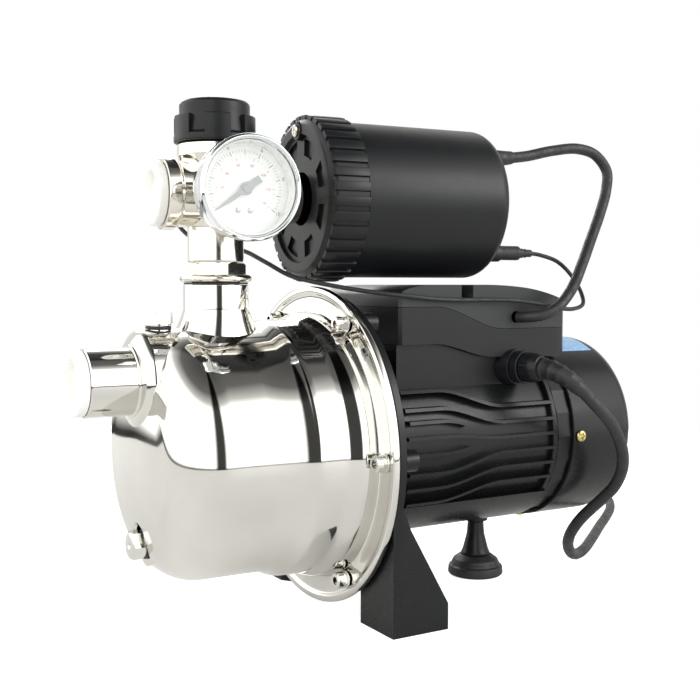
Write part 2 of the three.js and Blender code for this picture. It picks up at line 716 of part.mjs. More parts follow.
function glandNut() {
  const inside = CORD_R + 0.6;
  return glandLathe([
    [10.6, 9.4], [10.6, 10.6], [18, 10.6], [20, 9.8], [GLAND_LENGTH, 8], [GLAND_LENGTH, inside], [15, inside],
    [15, 9.4], [10.6, 9.4],
  ], 24);
}

// ---- five-way fitting, gauge and controller, drawn square to the fitting's own axis --------------

function fiveWayFitting() {
  const here = [0, 0, FITTING_Z];
  const outside = union(
    revolve('z', [[-43.6, 0], [-43.6, 18.2], [-20, 18.2], [-12, 20.5], [14, 20.5], [24, 24.6], [33, 24.6], [33, 21.5],
      [46, 21.5], [46, 0]], 20, here),
    revolve('x', [[-OUTLET_REACH, 0], [-OUTLET_REACH, 22.8], [-28, 22.8], [-26, 21.2], [0, 20.5], [0, 0]], 20, here),
    revolve('x', [[0, 0], [0, 18], [24, 18], [26, 16.5], [56, 16.5], [56, 0]], 16, here),
    revolve('y', [[-34, 0], [-34, 10], [0, 12], [34, 10], [34, 0]], 12, here),
  );
  return cut(
    outside,
    rod('z', -44, -30, 14.6, 16, here),
    rod('z', -31, 30, 11, 12, here),
    rod('z', 28, 48, 16, 16, here),
    rod('x', -OUTLET_REACH - 1, -OUTLET_BORE_END, PORT_BORE_R, 16, here),
    rod('x', -OUTLET_BORE_END - 1, 58, 11, 12, here),
    rod('y', -36, 36, 5, 10, here),
  );
}

function outletThreadCap() {
  return threadCap(-OUTLET_REACH, 20.5, 15.8, [0, 0, FITTING_Z]);
}

function topCap() {
  const base = FITTING_Z + 33 + GAP;
  const lobe = 6;
  const lobes = Array.from({ length: lobe }, (_, i) => {
    const middle = (2 * Math.PI * (i + 0.25)) / lobe;
    const half = Math.PI / lobe / 1.7;
    const rim = [-1, 0, 1].map((t) => [26.6 * Math.cos(middle + t * half), 26.6 * Math.sin(middle + t * half)]);
    return prism('z', [[0, 0], ...rim], base, base + 17);
  });
  const body = union(
    ...lobes,
    revolve('z', [[base, 0], [base, 26.6], [base + 5, 26.6], [base + 6, 24.6], [base + 18, 23], [base + 25, 23],
      [base + 27, 21], [base + 27, 0]], 24),
  );
  return cut(body, rod('z', base - 1, base + 14, 21.5 + GAP, 32));
}

const gaugeAt = [0, 0, FITTING_Z];
const alongGauge = (profile, sides) => revolve('y', profile.map(([d, r]) => [-d, r]), sides, gaugeAt);

function gaugeCase() {
  return alongGauge([
    [26, 0], [26, 4.7], [38, 4.7], [38, 7.5], [42, 7.5], [43, 12], [44, 28], [46, 30.4], [GAUGE_FRONT - 8, 30.4],
    [GAUGE_FRONT - 8, 28.8], [47.5, 28.8], [46.5, 26], [46.5, 0],
  ], 24);
}

function gaugeBezel() {
  return alongGauge([
    [GAUGE_FRONT - 9, 30.8], [GAUGE_FRONT - 9, GAUGE_R - 0.5], [GAUGE_FRONT - 7.5, GAUGE_R], [GAUGE_FRONT - 1.5, GAUGE_R],
    [GAUGE_FRONT, GAUGE_R - 1.5], [GAUGE_FRONT, 29.6], [GAUGE_FRONT - 3, 28.8], [GAUGE_FRONT - 3, 30.8],
    [GAUGE_FRONT - 9, 30.8],
  ], 24);
}

function gaugeLens() {
  return alongGauge([
    [GAUGE_FRONT - 5.2, 0], [GAUGE_FRONT - 5.2, 30.4], [GAUGE_FRONT - 3.4, 30.4], [GAUGE_FRONT - 3.4, 0],
  ], 24);
}

const DIAL_DEPTH = GAUGE_FRONT - 14;

function gaugeDial() {
  return alongGauge([
    [DIAL_DEPTH - 1, 2.2], [DIAL_DEPTH - 1, 28.4], [DIAL_DEPTH, 28.4], [DIAL_DEPTH, 2.2], [DIAL_DEPTH - 1, 2.2],
  ], 24);
}

const POINTER_REST = THREE.MathUtils.degToRad(215); // counter-clockwise from the right, seen from the front

function gaugePointer() {
  const front = -(DIAL_DEPTH + 2.4);
  const back = -(DIAL_DEPTH + 1.4);
  const needle = prism('y', [[-11, -2], [-4, -1.6], [0, -2], [12, -1], [22.5, -0.25], [22.5, 0.25], [12, 1], [0, 2],
    [-4, 1.6], [-11, 2]], front, back)
    .rotate([0, -THREE.MathUtils.radToDeg(POINTER_REST), 0]);
  const hub = rod('y', front - 1.2, back + 1, 3, 16);
  const pin = rod('y', back + 1, -47.2, 1.2, 10);
  return union(needle, hub, pin).translate(gaugeAt);
}

function controllerCollar() {
  const teeth = 20;
  const outline = Array.from({ length: teeth }, (_, i) => {
    const step = (2 * Math.PI) / teeth;
    const at = (r, t) => [r * Math.cos(step * (i + t)), r * Math.sin(step * (i + t))];
    return [at(COLLAR_R - 1.6, 0), at(COLLAR_R, 0.2), at(COLLAR_R, 0.8)];
  }).flat();
  const drum = prism('x', outline, COLLAR_FRONT, COLLAR_REAR).translate([0, 0, FITTING_Z]);
  const nose = revolve('x', [[COLLAR_FRONT - 1, 0], [COLLAR_FRONT - 1, 49], [COLLAR_FRONT + 8, 58], [COLLAR_REAR + 1, 58],
    [COLLAR_REAR + 1, 0]], 24, gaugeAt);
  return cut(
    drum.intersect(nose),
    rod('x', COLLAR_FRONT + 6, COLLAR_REAR + 2, 50.6, 24, gaugeAt),
    revolve('x', [[COLLAR_FRONT - 2, 0], [COLLAR_FRONT - 2, 43], [COLLAR_FRONT + 3, 41], [COLLAR_FRONT + 3, 0]],
      36, gaugeAt),
    rod('x', COLLAR_FRONT, COLLAR_FRONT + 8, 19, 16, gaugeAt),
    rod('x', COLLAR_FRONT - 3, COLLAR_FRONT + 9, 2.4, 8, COLLAR_SCREW_AT),
  );
}

const COLLAR_SCREW_AT = [0, 0, FITTING_Z + 45.5];

function controllerScrew() {
  return union(
    rod('x', COLLAR_FRONT - 2.6, COLLAR_FRONT - 1.2, 4, 10, COLLAR_SCREW_AT),
    rod('x', COLLAR_FRONT - 1.2, COLLAR_FRONT + 5, 2, 8, COLLAR_SCREW_AT),
  );
}

function controllerBody() {
  const corner = 9;
  const wall = 3;
  const cornerX = CONTROLLER_REAR - corner;
  const shell = revolve('x', [
    [COLLAR_FRONT + 6.4, 46], [COLLAR_FRONT + 6.4, 50.2], [COLLAR_REAR + GAP, 50.2], [COLLAR_REAR + GAP, CONTROLLER_R],
    ...arc(cornerX, CONTROLLER_R - corner, corner, 90, 0, 3),
    [CONTROLLER_REAR, 0], [CONTROLLER_REAR - wall, 0],
    ...arc(cornerX, CONTROLLER_R - corner, corner - wall, 0, 90, 2),
    [COLLAR_REAR + 6, CONTROLLER_R - wall], [COLLAR_REAR, 46], [COLLAR_FRONT + 6.4, 46],
  ], 24, gaugeAt);
  return cut(
    shell,
    rod('x', CONTROLLER_REAR - 8, CONTROLLER_REAR + 2, CONTROLLER_CABLE_R + GAP, 10, CONTROLLER_CABLE_AT),
    rod('x', CONTROLLER_REAR - 8, CONTROLLER_REAR + 2, 4.6, 10, SENSOR_SOCKET_AT),
  );
}

const CONTROLLER_CABLE_AT = [0, -18, FITTING_Z + 33];
const SENSOR_SOCKET_AT = [0, -20, FITTING_Z - 35];

function sensorPlug() {
  return revolve('x', [
    [CONTROLLER_REAR - 5, 0], [CONTROLLER_REAR - 5, 4.2], [CONTROLLER_REAR + GAP, 4.2], [CONTROLLER_REAR + GAP, 6.4],
    [CONTROLLER_REAR + 9, 6.4], [CONTROLLER_REAR + 9, 5.2], [CONTROLLER_REAR + 26, 5.2], [CONTROLLER_REAR + 27, 3.6],
    [CONTROLLER_REAR + 38, 2.8], [CONTROLLER_REAR + 38, 0],
  ], 12, SENSOR_SOCKET_AT);
}

function pressureSensor() {
  return revolve('y', [
    [20, 0], [20, 4.6], [35, 4.6], [35, 9], [41, 9], [42, 7.5], [58, 7.5], [60, 4], [64, 2.4], [64, 0],
  ], 12, gaugeAt);
}

// ---- cables -------------------------------------------------------------------------------------

// The fitting group's own frame carried into the pump's frame.
function fromFitting([x, y, z]) {
  const c = Math.cos(FITTING_YAW);
  const s = Math.sin(FITTING_YAW);
  return [NECK_X + x * c - y * s, x * s + y * c, z];
}

const CONTROLLER_CABLE_ROUTE = [
  [CONTROLLER_REAR + GAP, -18, FITTING_Z + 33],
  [CONTROLLER_REAR + 12, -18, FITTING_Z + 33.4],
].map(fromFitting).concat([
  [160, -31, 316.5],
  [185, -31, 322],
  [210, -32, 325],
  [226, -34, 321],
  [234, -38, 309],
  [230, -42, 294],
  [219, -47, 275],
  [205, -53, 256],
  [190, -60, 237],
  [174, -67, 219],
  [158, -70, 206],
  [146, -67, 200.5],
  [138.5, -60, 199.2],
  [CABLE_ENTRY[0], CABLE_ENTRY[1] - 1.5, CABLE_ENTRY[2]],
]);

const SENSOR_CABLE_ROUTE = [
  [CONTROLLER_REAR + 38 + GAP, -20, FITTING_Z - 35],
  [CONTROLLER_REAR + 46, -20, FITTING_Z - 36],
].map(fromFitting).concat([
  [186, -38, 239],
  [196, -42, 229],
  [200, -48, 217],
  [196, -55, 208],
  [184, -59, 204.5],
  [168, -60.5, 205],
  [148, -60.5, 208.5],
  [126, -59.5, 211],
  [104, -57, 211.5],
  [82, -56, 211.5],
  [60, -56, 212.5],
  [42, -56, 214.3],
  [26, -52, 216],
  [8, -43, 218.6],
  [-7, -34, 221.6],
  [-18, -26, 224.4],
  [-27, -14, 228.2],
  [-35, 5, 237],
  [-41, 26, 245],
  [-48, 46, 249],
  [-56, 64, 252.5],
  [-63, 78, 258.5],
  [-67.5, 84.5, 267],
  [-69.2, 81, 276.5],
]).concat([
  [0, 73, FITTING_Z],
  [0, 64 + GAP, FITTING_Z],
].map(fromFitting));

// The power cord leaves the gland, swings past the fan cover, lands on the floor and runs off in a wide
// bend to a flat coil behind the pump.
const FLOOR_Z = CORD_R + 0.1;
const COIL_CENTRE = [118, 178];
const COIL_OUTER_R = 53.25; // middle of the outermost turn
const COIL_PITCH = 2 * CORD_R;
const COIL_EXIT_R = 62.5;
const PLUG_R = 19;
const PLUG_ENTRY_X = COIL_CENTRE[0] - 62;

const GLAND_AXIS = [Math.sin(GLAND_TURN), -Math.cos(GLAND_TURN), 0];
const alongGland = (distance, drop = 0) => GLAND_BASE.map((v, i) => v + distance * GLAND_AXIS[i] - (i === 2 ? drop : 0));

const POWER_CORD_ROUTE = [
  alongGland(GLAND_LENGTH + GAP),
  alongGland(GLAND_LENGTH + 9, 1.4),
  [146.3, -92.8, 158],
  [155, -99.5, 149],
  [167, -102.5, 137],
  [182, -100.5, 124.5],
  [193, -97.5, 111.5],
  [200, -94, 99.5],
  [205, -88, 87],
  [206.5, -79.5, 74.5],
  [206, -70, 65],
  [203, -60, 55],
  [200, -51, 45],
  [200, -41, 33],
  [206, -31, 21.5],
  [217, -22, 11.5],
  [232, -12, 5.6],
  [250, -1, FLOOR_Z],
  [284, 25, FLOOR_Z],
  [325, 58, FLOOR_Z],
  [358, 84, FLOOR_Z],
  [388, 110, FLOOR_Z],
  [414, 140, FLOOR_Z],
  [430, 172, FLOOR_Z],
  [428, 206, FLOOR_Z],
  [408, 231, FLOOR_Z],
  [375, 240, FLOOR_Z],
  [335, 236, FLOOR_Z],
  [290, 231.6, FLOOR_Z],
  [240, 231.3, FLOOR_Z],
  [180, 231.25, FLOOR_Z],
  [COIL_CENTRE[0] + 5, COIL_CENTRE[1] + COIL_OUTER_R, FLOOR_Z],
];

// A point of the coil, at an angle in degrees and a radius from its middle.
function coilPoint(degrees, radius, z) {
  const angle = THREE.MathUtils.degToRad(degrees);
  return [COIL_CENTRE[0] + radius * Math.cos(angle), COIL_CENTRE[1] + radius * Math.sin(angle), z];
}

const COIL_LAST = 600; // degrees, counted from +X, where the cord climbs off the floor
const COIL_EXIT = 800;

// The tail of the cord climbs off the inner turn, crosses the outer ones and drops into the plug.
function tailRoute() {
  const points = [];
  for (let degrees = COIL_LAST; degrees <= COIL_EXIT; degrees += 20) {
    const inner = COIL_OUTER_R - (COIL_PITCH * (COIL_LAST - 90)) / 360;
    const radius = ease(degrees, 680, COIL_EXIT, inner, COIL_EXIT_R);
    points.push(coilPoint(degrees, radius, ease(degrees, COIL_LAST, 690, FLOOR_Z, 13.3)));
  }
  const y = COIL_CENTRE[1] + COIL_EXIT_R;
  const end = [PLUG_ENTRY_X + 0.6, y, PLUG_R + 0.4];
  points.push([COIL_CENTRE[0] - 12, y, 13.6], [COIL_CENTRE[0] - 30, y, 16], [COIL_CENTRE[0] - 47, y, 19], end);
  return points;
}

// The turns lie in this ring.
function coilEnvelope() {
  const [inner, outer] = [COIL_OUTER_R - 2 * COIL_PITCH + 0.4, COIL_OUTER_R + CORD_R];
  return revolve('z', [
    [0.3, inner + 3], [0.3, outer - 3], [FLOOR_Z, outer], [8.6, outer - 3], [8.6, inner + 3], [FLOOR_Z, inner],
    [0.3, inner + 3],
  ], 24, [...COIL_CENTRE, 0]);
}

function powerCord() {
  return union(
    cable(POWER_CORD_ROUTE, CORD_R, 8, 46),
    coilEnvelope(),
    cable(tailRoute(), CORD_R, 8, 16),
  );
}

function powerPlug() {
  const body = revolve('x', [
    [-20, 0], [-20, PLUG_R - 2], [-16, PLUG_R], [8, PLUG_R], [14, 12], [30, 6.5], [30, 0],
  ], 20);
  const pins = [-9.5, 9.5].map((y) => rod('x', -39, -20, 2.4, 8, [0, y, 0]));
  return union(body, ...pins).translate([PLUG_ENTRY_X - 30, COIL_CENTRE[1] + COIL_EXIT_R, PLUG_R + 0.4]);
}

// ---- assembly -----------------------------------------------------------------------------------

function hydraulicEnd() {
  const group = new THREE.Group();
  group.add(
    piece('pump_casing', pumpCasing(), STAINLESS),
    piece('suction_thread_cap', threadCap(SUCTION_TIP_X, 20.6, 15.8, [0, 0, SUCTION_Z]), WHITE_PLASTIC),
    piece('fill_plug', fillPlug(), STAINLESS),
    piece('fill_plug_seal', fillPlugSeal(), BLACK_RUBBER),
    piece('drain_plug', drainPlug(), STAINLESS),
    piece('drain_plug_seal', drainPlugSeal(), BLACK_RUBBER),
    piece('discharge_nipple', dischargeNipple(), NICKEL),
    piece('neck_seal', neckSeal(), BLACK_RUBBER),
    piece('casing_gasket', casingGasket(), BLACK_RUBBER),
    piece('jet_nozzle', jetNozzle(), BRASS),
    piece('venturi_tube', venturiTube(), GREY_PLASTIC),
    piece('diffuser', diffuser(), GREY_PLASTIC),
    piece('impeller', impeller(), BRASS),
    piece('shaft_seal_head', sealHead(), STEEL),
    piece('shaft_seal_seat', sealSeat(), WHITE_PLASTIC),
  );
  boltAngles().forEach((angle, i) => {
    group.add(piece(`flange_bolt_${i + 1}`, flangeBolt(angle), STAINLESS));
  });
  return group;
}

function motor() {
  const group = new THREE.Group();
  group.add(
    piece('motor_bracket', motorBracket(), BLACK_PAINT),
    piece('front_bearing', bearing(FRONT_BEARING_X), STEEL),
    piece('rear_bearing', bearing(REAR_BEARING_X), STEEL),
    piece('motor_shaft', motorShaft(), STEEL),
    piece('rotor_core', rotorCore(), STEEL),
    piece('stator', statorCore(), COPPER),
    piece('motor_housing', motorHousing(), BLACK_PAINT),
    piece('rear_end_shield', rearEndShield(), BLACK_PAINT),
    piece('cooling_fan', coolingFan(), BLACK_PLASTIC),
    piece('fan_cover', fanCover(), BLACK_PAINT),
    piece('rear_foot_post', rearFootPost(), BLACK_PLASTIC),
    piece('rear_foot_pad', rearFootPad(), BLACK_RUBBER),
    piece('terminal_box', terminalBox(), BLACK_PLASTIC),
    piece('terminal_box_lid', terminalBoxLid(), BLACK_PLASTIC),
    piece('capacitor', capacitor(), GREY_PLASTIC),
    piece('cable_gland', cableGland(), BLACK_PLASTIC),
    piece('cable_gland_nut', glandNut(), BLACK_PLASTIC),
  );
  coverScrewAngles().forEach((angle, i) => {
    group.add(piece(`fan_cover_screw_${i + 1}`, coverScrew(angle), ZINC));
  });
  LID_SCREW_SIDES.forEach((side, i) => {
    group.add(piece(`lid_screw_${i + 1}`, lidScrew(side), STEEL));
  });
  return group;
}

function fittingGroup() {
  const group = new THREE.Group();
  group.add(
    piece('five_way_fitting', fiveWayFitting(), NICKEL),
    piece('outlet_thread_cap', outletThreadCap(), WHITE_PLASTIC),
    piece('top_cap', topCap(), BLACK_PLASTIC),
    piece('gauge_case', gaugeCase(), CHROME),
    piece('gauge_bezel', gaugeBezel(), CHROME),
    piece('gauge_lens', gaugeLens(), CLEAR),
    piece('gauge_dial', gaugeDial(), WHITE_PLASTIC),
    piece('gauge_pointer', gaugePointer(), GREY_PLASTIC),
    piece('controller_collar', controllerCollar(), BLACK_PLASTIC),
    piece('controller_body', controllerBody(), BLACK_PLASTIC),
    piece('controller_screw', controllerScrew(), STEEL),
    piece('pressure_sensor', pressureSensor(), NICKEL),
    piece('sensor_plug', sensorPlug(), BLACK_RUBBER),
  );
  group.rotation.z = FITTING_YAW;
  group.position.x = NECK_X;
  return group;
}

function cables() {
  const group = new THREE.Group();
  group.add(
    piece('controller_cable', cable(CONTROLLER_CABLE_ROUTE, CONTROLLER_CABLE_R, 8, 32), BLACK_RUBBER),
    piece('sensor_cable', cable(SENSOR_CABLE_ROUTE, SENSOR_CABLE_R, 6, 58), BLACK_RUBBER),
    piece('power_cord', powerCord(), BLACK_RUBBER),
    piece('power_plug', powerPlug(), BLACK_RUBBER),
  );
  return group;
}

// The finished pump stands with the middle of its base box at the origin.
const FRONT_END_X = SUCTION_TIP_X - 7;
const pump = new THREE.Group();
pump.add(hydraulicEnd(), motor(), fittingGroup(), cables());
pump.position.x = -(FRONT_END_X + COVER_REAR_X) / 2;

export default pump;
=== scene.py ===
import math

import bmesh
import bpy
from mathutils import Matrix, Vector


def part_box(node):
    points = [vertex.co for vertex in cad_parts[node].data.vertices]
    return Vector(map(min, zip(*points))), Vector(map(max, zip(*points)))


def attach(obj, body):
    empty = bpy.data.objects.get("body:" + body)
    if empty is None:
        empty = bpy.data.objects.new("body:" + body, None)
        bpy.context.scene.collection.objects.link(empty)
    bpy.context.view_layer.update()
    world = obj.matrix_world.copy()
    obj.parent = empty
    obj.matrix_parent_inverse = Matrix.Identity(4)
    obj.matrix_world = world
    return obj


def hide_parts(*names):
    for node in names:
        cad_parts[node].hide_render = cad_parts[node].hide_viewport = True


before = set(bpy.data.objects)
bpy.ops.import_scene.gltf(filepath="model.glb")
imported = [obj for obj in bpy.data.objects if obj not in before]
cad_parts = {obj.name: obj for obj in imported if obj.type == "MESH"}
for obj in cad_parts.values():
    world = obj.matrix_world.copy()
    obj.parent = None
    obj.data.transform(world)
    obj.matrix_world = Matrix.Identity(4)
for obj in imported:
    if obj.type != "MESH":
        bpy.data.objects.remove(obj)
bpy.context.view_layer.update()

# ---- where the pump stands ----------------------------------------------------------------------
# Shapes are drawn in millimetres from the casing flange: X = 0 is its back face, Z = 0 the floor.

FLANGE_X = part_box("pump_casing")[1][0]
TO_ROW = Matrix.Translation((FLANGE_X, 0, 0)) @ Matrix.Scale(0.001, 4)
AXIS_Z = 112
NECK_X = -74
FITTING_YAW = math.radians(-4)
FITTING_Z = 280
ON_FITTING = Matrix.Translation((NECK_X, 0, 0)) @ Matrix.Rotation(FITTING_YAW, 4, "Z")
TO_FITTING = TO_ROW @ ON_FITTING
SHAFT = (0, 0, AXIS_Z)
FITTING = (0, 0, FITTING_Z)

scene = bpy.context.scene


def link(name, data):
    made = bpy.data.objects.new(name, data)
    scene.collection.objects.link(made)
    return made


# ---- camera -------------------------------------------------------------------------------------

def camera():
    lens = bpy.data.cameras.new("camera")
    lens.lens = 54.37
    lens.sensor_width = 36
    view = link("camera", lens)
    view.location = (-0.3835, -0.6443, 0.2218)
    view.rotation_euler = (math.radians(86.48), 0, math.radians(-30.40))
    scene.camera = view


camera()

# ---- finishes -----------------------------------------------------------------------------------


def finish(name, colour, rough, metal=0, cloud=(30, 0.06), grain=(900, 0.03), worn=0.25, stretch=(1, 1, 1),
           **sockets):
    """A finish with cloudy colour, uneven gloss and a fine grain, all on object coordinates."""
    material = bpy.data.materials.new(name)
    material.use_nodes = True
    tree = material.node_tree
    shader = tree.nodes["Principled BSDF"]
    shader.inputs["Metallic"].default_value = metal
    for socket, value in sockets.items():
        shader.inputs[socket.replace("_", " ")].default_value = value
    place = tree.nodes.new("ShaderNodeTexCoord")
    mapping = tree.nodes.new("ShaderNodeMapping")
    mapping.inputs["Scale"].default_value = stretch
    tree.links.new(place.outputs["Object"], mapping.inputs["Vector"])

    def noise(scale, detail):
        node = tree.nodes.new("ShaderNodeTexNoise")
        node.inputs["Scale"].default_value = scale
        node.inputs["Detail"].default_value = detail
        tree.links.new(mapping.outputs["Vector"], node.inputs["Vector"])
        return node

    clouds = noise(cloud[0], 3)
    ramp = tree.nodes.new("ShaderNodeValToRGB")
    dark, light = (1 - cloud[1], 1 + cloud[1])
    ramp.color_ramp.elements[0].position = 0.3
    ramp.color_ramp.elements[0].color = [c * dark for c in colour] + [1]
    ramp.color_ramp.elements[1].position = 0.7
    ramp.color_ramp.elements[1].color = [min(1, c * light) for c in colour] + [1]
    tree.links.new(clouds.outputs["Fac"], ramp.inputs["Fac"])
    tree.links.new(ramp.outputs["Color"], shader.inputs["Base Color"])
    patches = noise(cloud[0] * 3.1, 4)
    gloss = tree.nodes.new("ShaderNodeMapRange")
    gloss.inputs["From Min"].default_value = 0.3
    gloss.inputs["From Max"].default_value = 0.7
    gloss.inputs["To Min"].default_value = rough * (1 - worn)
    gloss.inputs["To Max"].default_value = rough * (1 + worn)
    tree.links.new(patches.outputs["Fac"], gloss.inputs["Value"])
    tree.links.new(gloss.outputs["Result"], shader.inputs["Roughness"])
    grit = noise(grain[0], 5)
    bump = tree.nodes.new("ShaderNodeBump")
    bump.inputs["Strength"].default_value = grain[1]
    bump.inputs["Distance"].default_value = 0.0006
    tree.links.new(grit.outputs["Fac"], bump.inputs["Height"])
    tree.links.new(bump.outputs["Normal"], shader.inputs["Normal"])
    return material


FINISHES = {
    "polished_stainless": finish("polished_stainless", (0.70, 0.687, 0.655), 0.055, 1, (22, 0.03),
                                 (38, 0.02)),
    "nickel_plate": finish("nickel_plate", (0.77, 0.735, 0.665), 0.13, 1, (60, 0.05), (520, 0.04)),
    "chrome_plate": finish("chrome_plate", (0.80, 0.82, 0.84), 0.04, 1, (40, 0.03), (120, 0.012)),
    "bare_steel": finish("bare_steel", (0.50, 0.49, 0.47), 0.32, 1, (60, 0.12), (700, 0.10),
                         stretch=(6, 1, 1)),
    "zinc_yellow": finish("zinc_yellow", (0.62, 0.52, 0.23), 0.28, 1, (260, 0.22), (900, 0.06)),
    "brass": finish("brass", (0.58, 0.42, 0.17), 0.28, 1, (90, 0.10), (600, 0.08)),
    "wound_core": finish("wound_core", (0.34, 0.15, 0.06), 0.42, 1, (150, 0.30), (420, 0.45),
                         stretch=(5, 1, 1)),
    "black_casting": finish("black_casting", (0.008, 0.0085, 0.0095), 0.28, 0, (30, 0.12), (700, 0.025), 0.10,
                            Specular_IOR_Level=0.26),
    "black_plastic": finish("black_plastic", (0.009, 0.0095, 0.011), 0.34, 0, (40, 0.10), (2200, 0.04), 0.06,
                            Specular_IOR_Level=0.26),
    "dark_grey_plastic": finish("dark_grey_plastic", (0.019, 0.0205, 0.023), 0.40, 0, (40, 0.08),
                                (2400, 0.05), 0.06, Specular_IOR_Level=0.34),
    "black_rubber": finish("black_rubber", (0.013, 0.013, 0.014), 0.55, 0, (70, 0.18), (1500, 0.16)),
    "white_plastic": finish("white_plastic", (0.86, 0.86, 0.83), 0.30, 0, (50, 0.02), (1800, 0.04),
                            Subsurface_Weight=0.08),
    "grey_plastic": finish("grey_plastic", (0.26, 0.265, 0.275), 0.42, 0, (60, 0.08), (1900, 0.08)),
    "clear_lens": finish("clear_lens", (0.93, 0.96, 0.97), 0.03, 0, (20, 0.01), (60, 0.004), Alpha=0.13),
}
DIAL_PRINT = finish("dial_print", (0.10, 0.10, 0.11), 0.5, 0, (900, 0.25), (3000, 0.05))
DIAL_PRINT_RED = finish("dial_print_red", (0.62, 0.16, 0.18), 0.5, 0, (900, 0.15), (3000, 0.05))
BLUE_LABEL = finish("blue_label", (0.27, 0.48, 0.77), 0.35, 0, (400, 0.20), (1500, 0.05))

# ---- making pieces ------------------------------------------------------------------------------

TURN = {
    "x": Matrix.Identity(4),
    "y": Matrix.Rotation(math.pi / 2, 4, "Z"),
    "-y": Matrix.Rotation(-math.pi / 2, 4, "Z"),
    "z": Matrix.Rotation(-math.pi / 2, 4, "Y"),
}
STAND = {
    "x": Matrix(((0, 0, 1, 0), (1, 0, 0, 0), (0, 1, 0, 0), (0, 0, 0, 1))),
    "y": Matrix(((1, 0, 0, 0), (0, 0, 1, 0), (0, 1, 0, 0), (0, 0, 0, 1))),
    "z": Matrix.Identity(4),
}


def arc(along, radius, reach, start, end, steps):
    """Points of a round stretch of an outline, from one angle to another."""
    angles = [math.radians(start + (end - start) * i / steps) for i in range(steps + 1)]
    return [(along + reach * math.cos(a), radius + reach * math.sin(a)) for a in angles]


def eased(outline, reach, steps=4, closed=False):
    """The outline with each inner corner rounded, starting at most reach from the corner."""
    points = [Vector(p) for p in outline]
    count = len(points)
    result = []
    for i, corner in enumerate(points):
        if not closed and i in (0, count - 1):
            result.append(tuple(corner))
            continue
        before, after = points[i - 1] - corner, points[(i + 1) % count] - corner
        start = corner + before.normalized() * min(reach, before.length * 0.45)
        end = corner + after.normalized() * min(reach, after.length * 0.45)
        for step in range(steps + 1):
            t = step / steps
            result.append(tuple(start * (1 - t) ** 2 + corner * 2 * t * (1 - t) + end * t ** 2))
    return result


def smooth_step(x, x0, x1, a, b):
    t = min(1, max(0, (x - x0) / (x1 - x0)))
    return a + (b - a) * t * t * (3 - 2 * t)


def turned(outline, axis="x", centre=(0, 0, 0), steps=96, closed=False):
    """Points of (along, radius) spun full round an axis."""
    bm = bmesh.new()
    rim = [bm.verts.new((along, 0, radius)) for along, radius in outline]
    lines = [bm.edges.new(pair) for pair in zip(rim, rim[1:])]
    if closed:
        lines.append(bm.edges.new((rim[-1], rim[0])))
    bmesh.ops.spin(bm, geom=rim + lines, cent=(0, 0, 0), axis=(1, 0, 0), angle=2 * math.pi, steps=steps,
                   use_merge=True)
    bmesh.ops.remove_doubles(bm, verts=bm.verts, dist=0.002)
    bmesh.ops.recalc_face_normals(bm, faces=bm.faces)
    return moved(bm, Matrix.Translation(centre) @ TURN[axis])


def shifted(outline, start, way=1):
    return [(start + way * along, radius) for along, radius in outline]


def lathe(outline, axis="x", centre=(0, 0, 0), steps=64, ease=0, rounds=3, start=0, way=1):
    """A solid spun from its outer points, closed down to the axis at both ends."""
    outline = shifted(outline, start, way)
    outline = [(outline[0][0], 0)] + outline + [(outline[-1][0], 0)]
    return turned(eased(outline, ease, rounds) if ease else outline, axis, centre, steps)


def ring(section, axis="x", centre=(0, 0, 0), steps=64, ease=0, rounds=4):
    """A ring spun from the closed outline of its section."""
    return turned(eased(section, ease, rounds, True) if ease else section, axis, centre, steps, True)


def rod(axis, low, high, radius, centre=(0, 0, 0), steps=48, chamfer=0):
    outline = [(low, radius), (high, radius)]
    if chamfer:
        outline = [(low, radius - chamfer), (low + chamfer, radius), (high - chamfer, radius),
                   (high, radius - chamfer)]
    return lathe(outline, axis, centre, steps)


def slab(outline, axis, low, high, bevel=0, segments=2):
    """An outline carried between two stations of an axis: x draws (Y, Z), y draws (X, Z), z draws (X, Y)."""
    bm = bmesh.new()
    face = bm.faces.new([bm.verts.new((u, v, low)) for u, v in outline])
    grown = bmesh.ops.extrude_face_region(bm, geom=[face])["geom"]
    ends = [v for v in grown if isinstance(v, bmesh.types.BMVert)]
    bmesh.ops.translate(bm, vec=(0, 0, high - low), verts=ends)
    bmesh.ops.recalc_face_normals(bm, faces=bm.faces)
    if bevel:
        rims = [e for e in bm.edges if abs(e.verts[0].co.z - e.verts[1].co.z) < 1e-4]
        bmesh.ops.bevel(bm, geom=rims, offset=bevel, offset_type="OFFSET", segments=segments, profile=0.5,
                        affect="EDGES", material=-1, clamp_overlap=True)
    bmesh.ops.transform(bm, matrix=STAND[axis], verts=bm.verts)
    bmesh.ops.recalc_face_normals(bm, faces=bm.faces)
    return bm


def block(x0, x1, y0, y1, z0, z1, bevel=0):
    return slab([(x0, y0), (x1, y0), (x1, y1), (x0, y1)], "z", z0, z1, bevel)


def polygon(sides, radius, turn=0.0, centre=(0, 0)):
    angles = [turn + 2 * math.pi * i / sides for i in range(sides)]
    return [(centre[0] + radius * math.cos(a), centre[1] + radius * math.sin(a)) for a in angles]


def moved(bm, matrix):
    bmesh.ops.transform(bm, matrix=matrix, verts=bm.verts)
    return bm


def about_shaft(bm, degrees):
    """Turned about the shaft, where 0 leaves it as it is."""
    turn = Matrix.Rotation(math.radians(degrees), 4, "X")
    return moved(bm, Matrix.Translation(SHAFT) @ turn)


def together(*shapes):
    """Several closed shapes in one mesh."""
    whole = bmesh.new()
    for shape in shapes:
        mesh = bpy.data.meshes.new("part")
        shape.to_mesh(mesh)
        shape.free()
        whole.from_mesh(mesh)
        bpy.data.meshes.remove(mesh)
    return whole


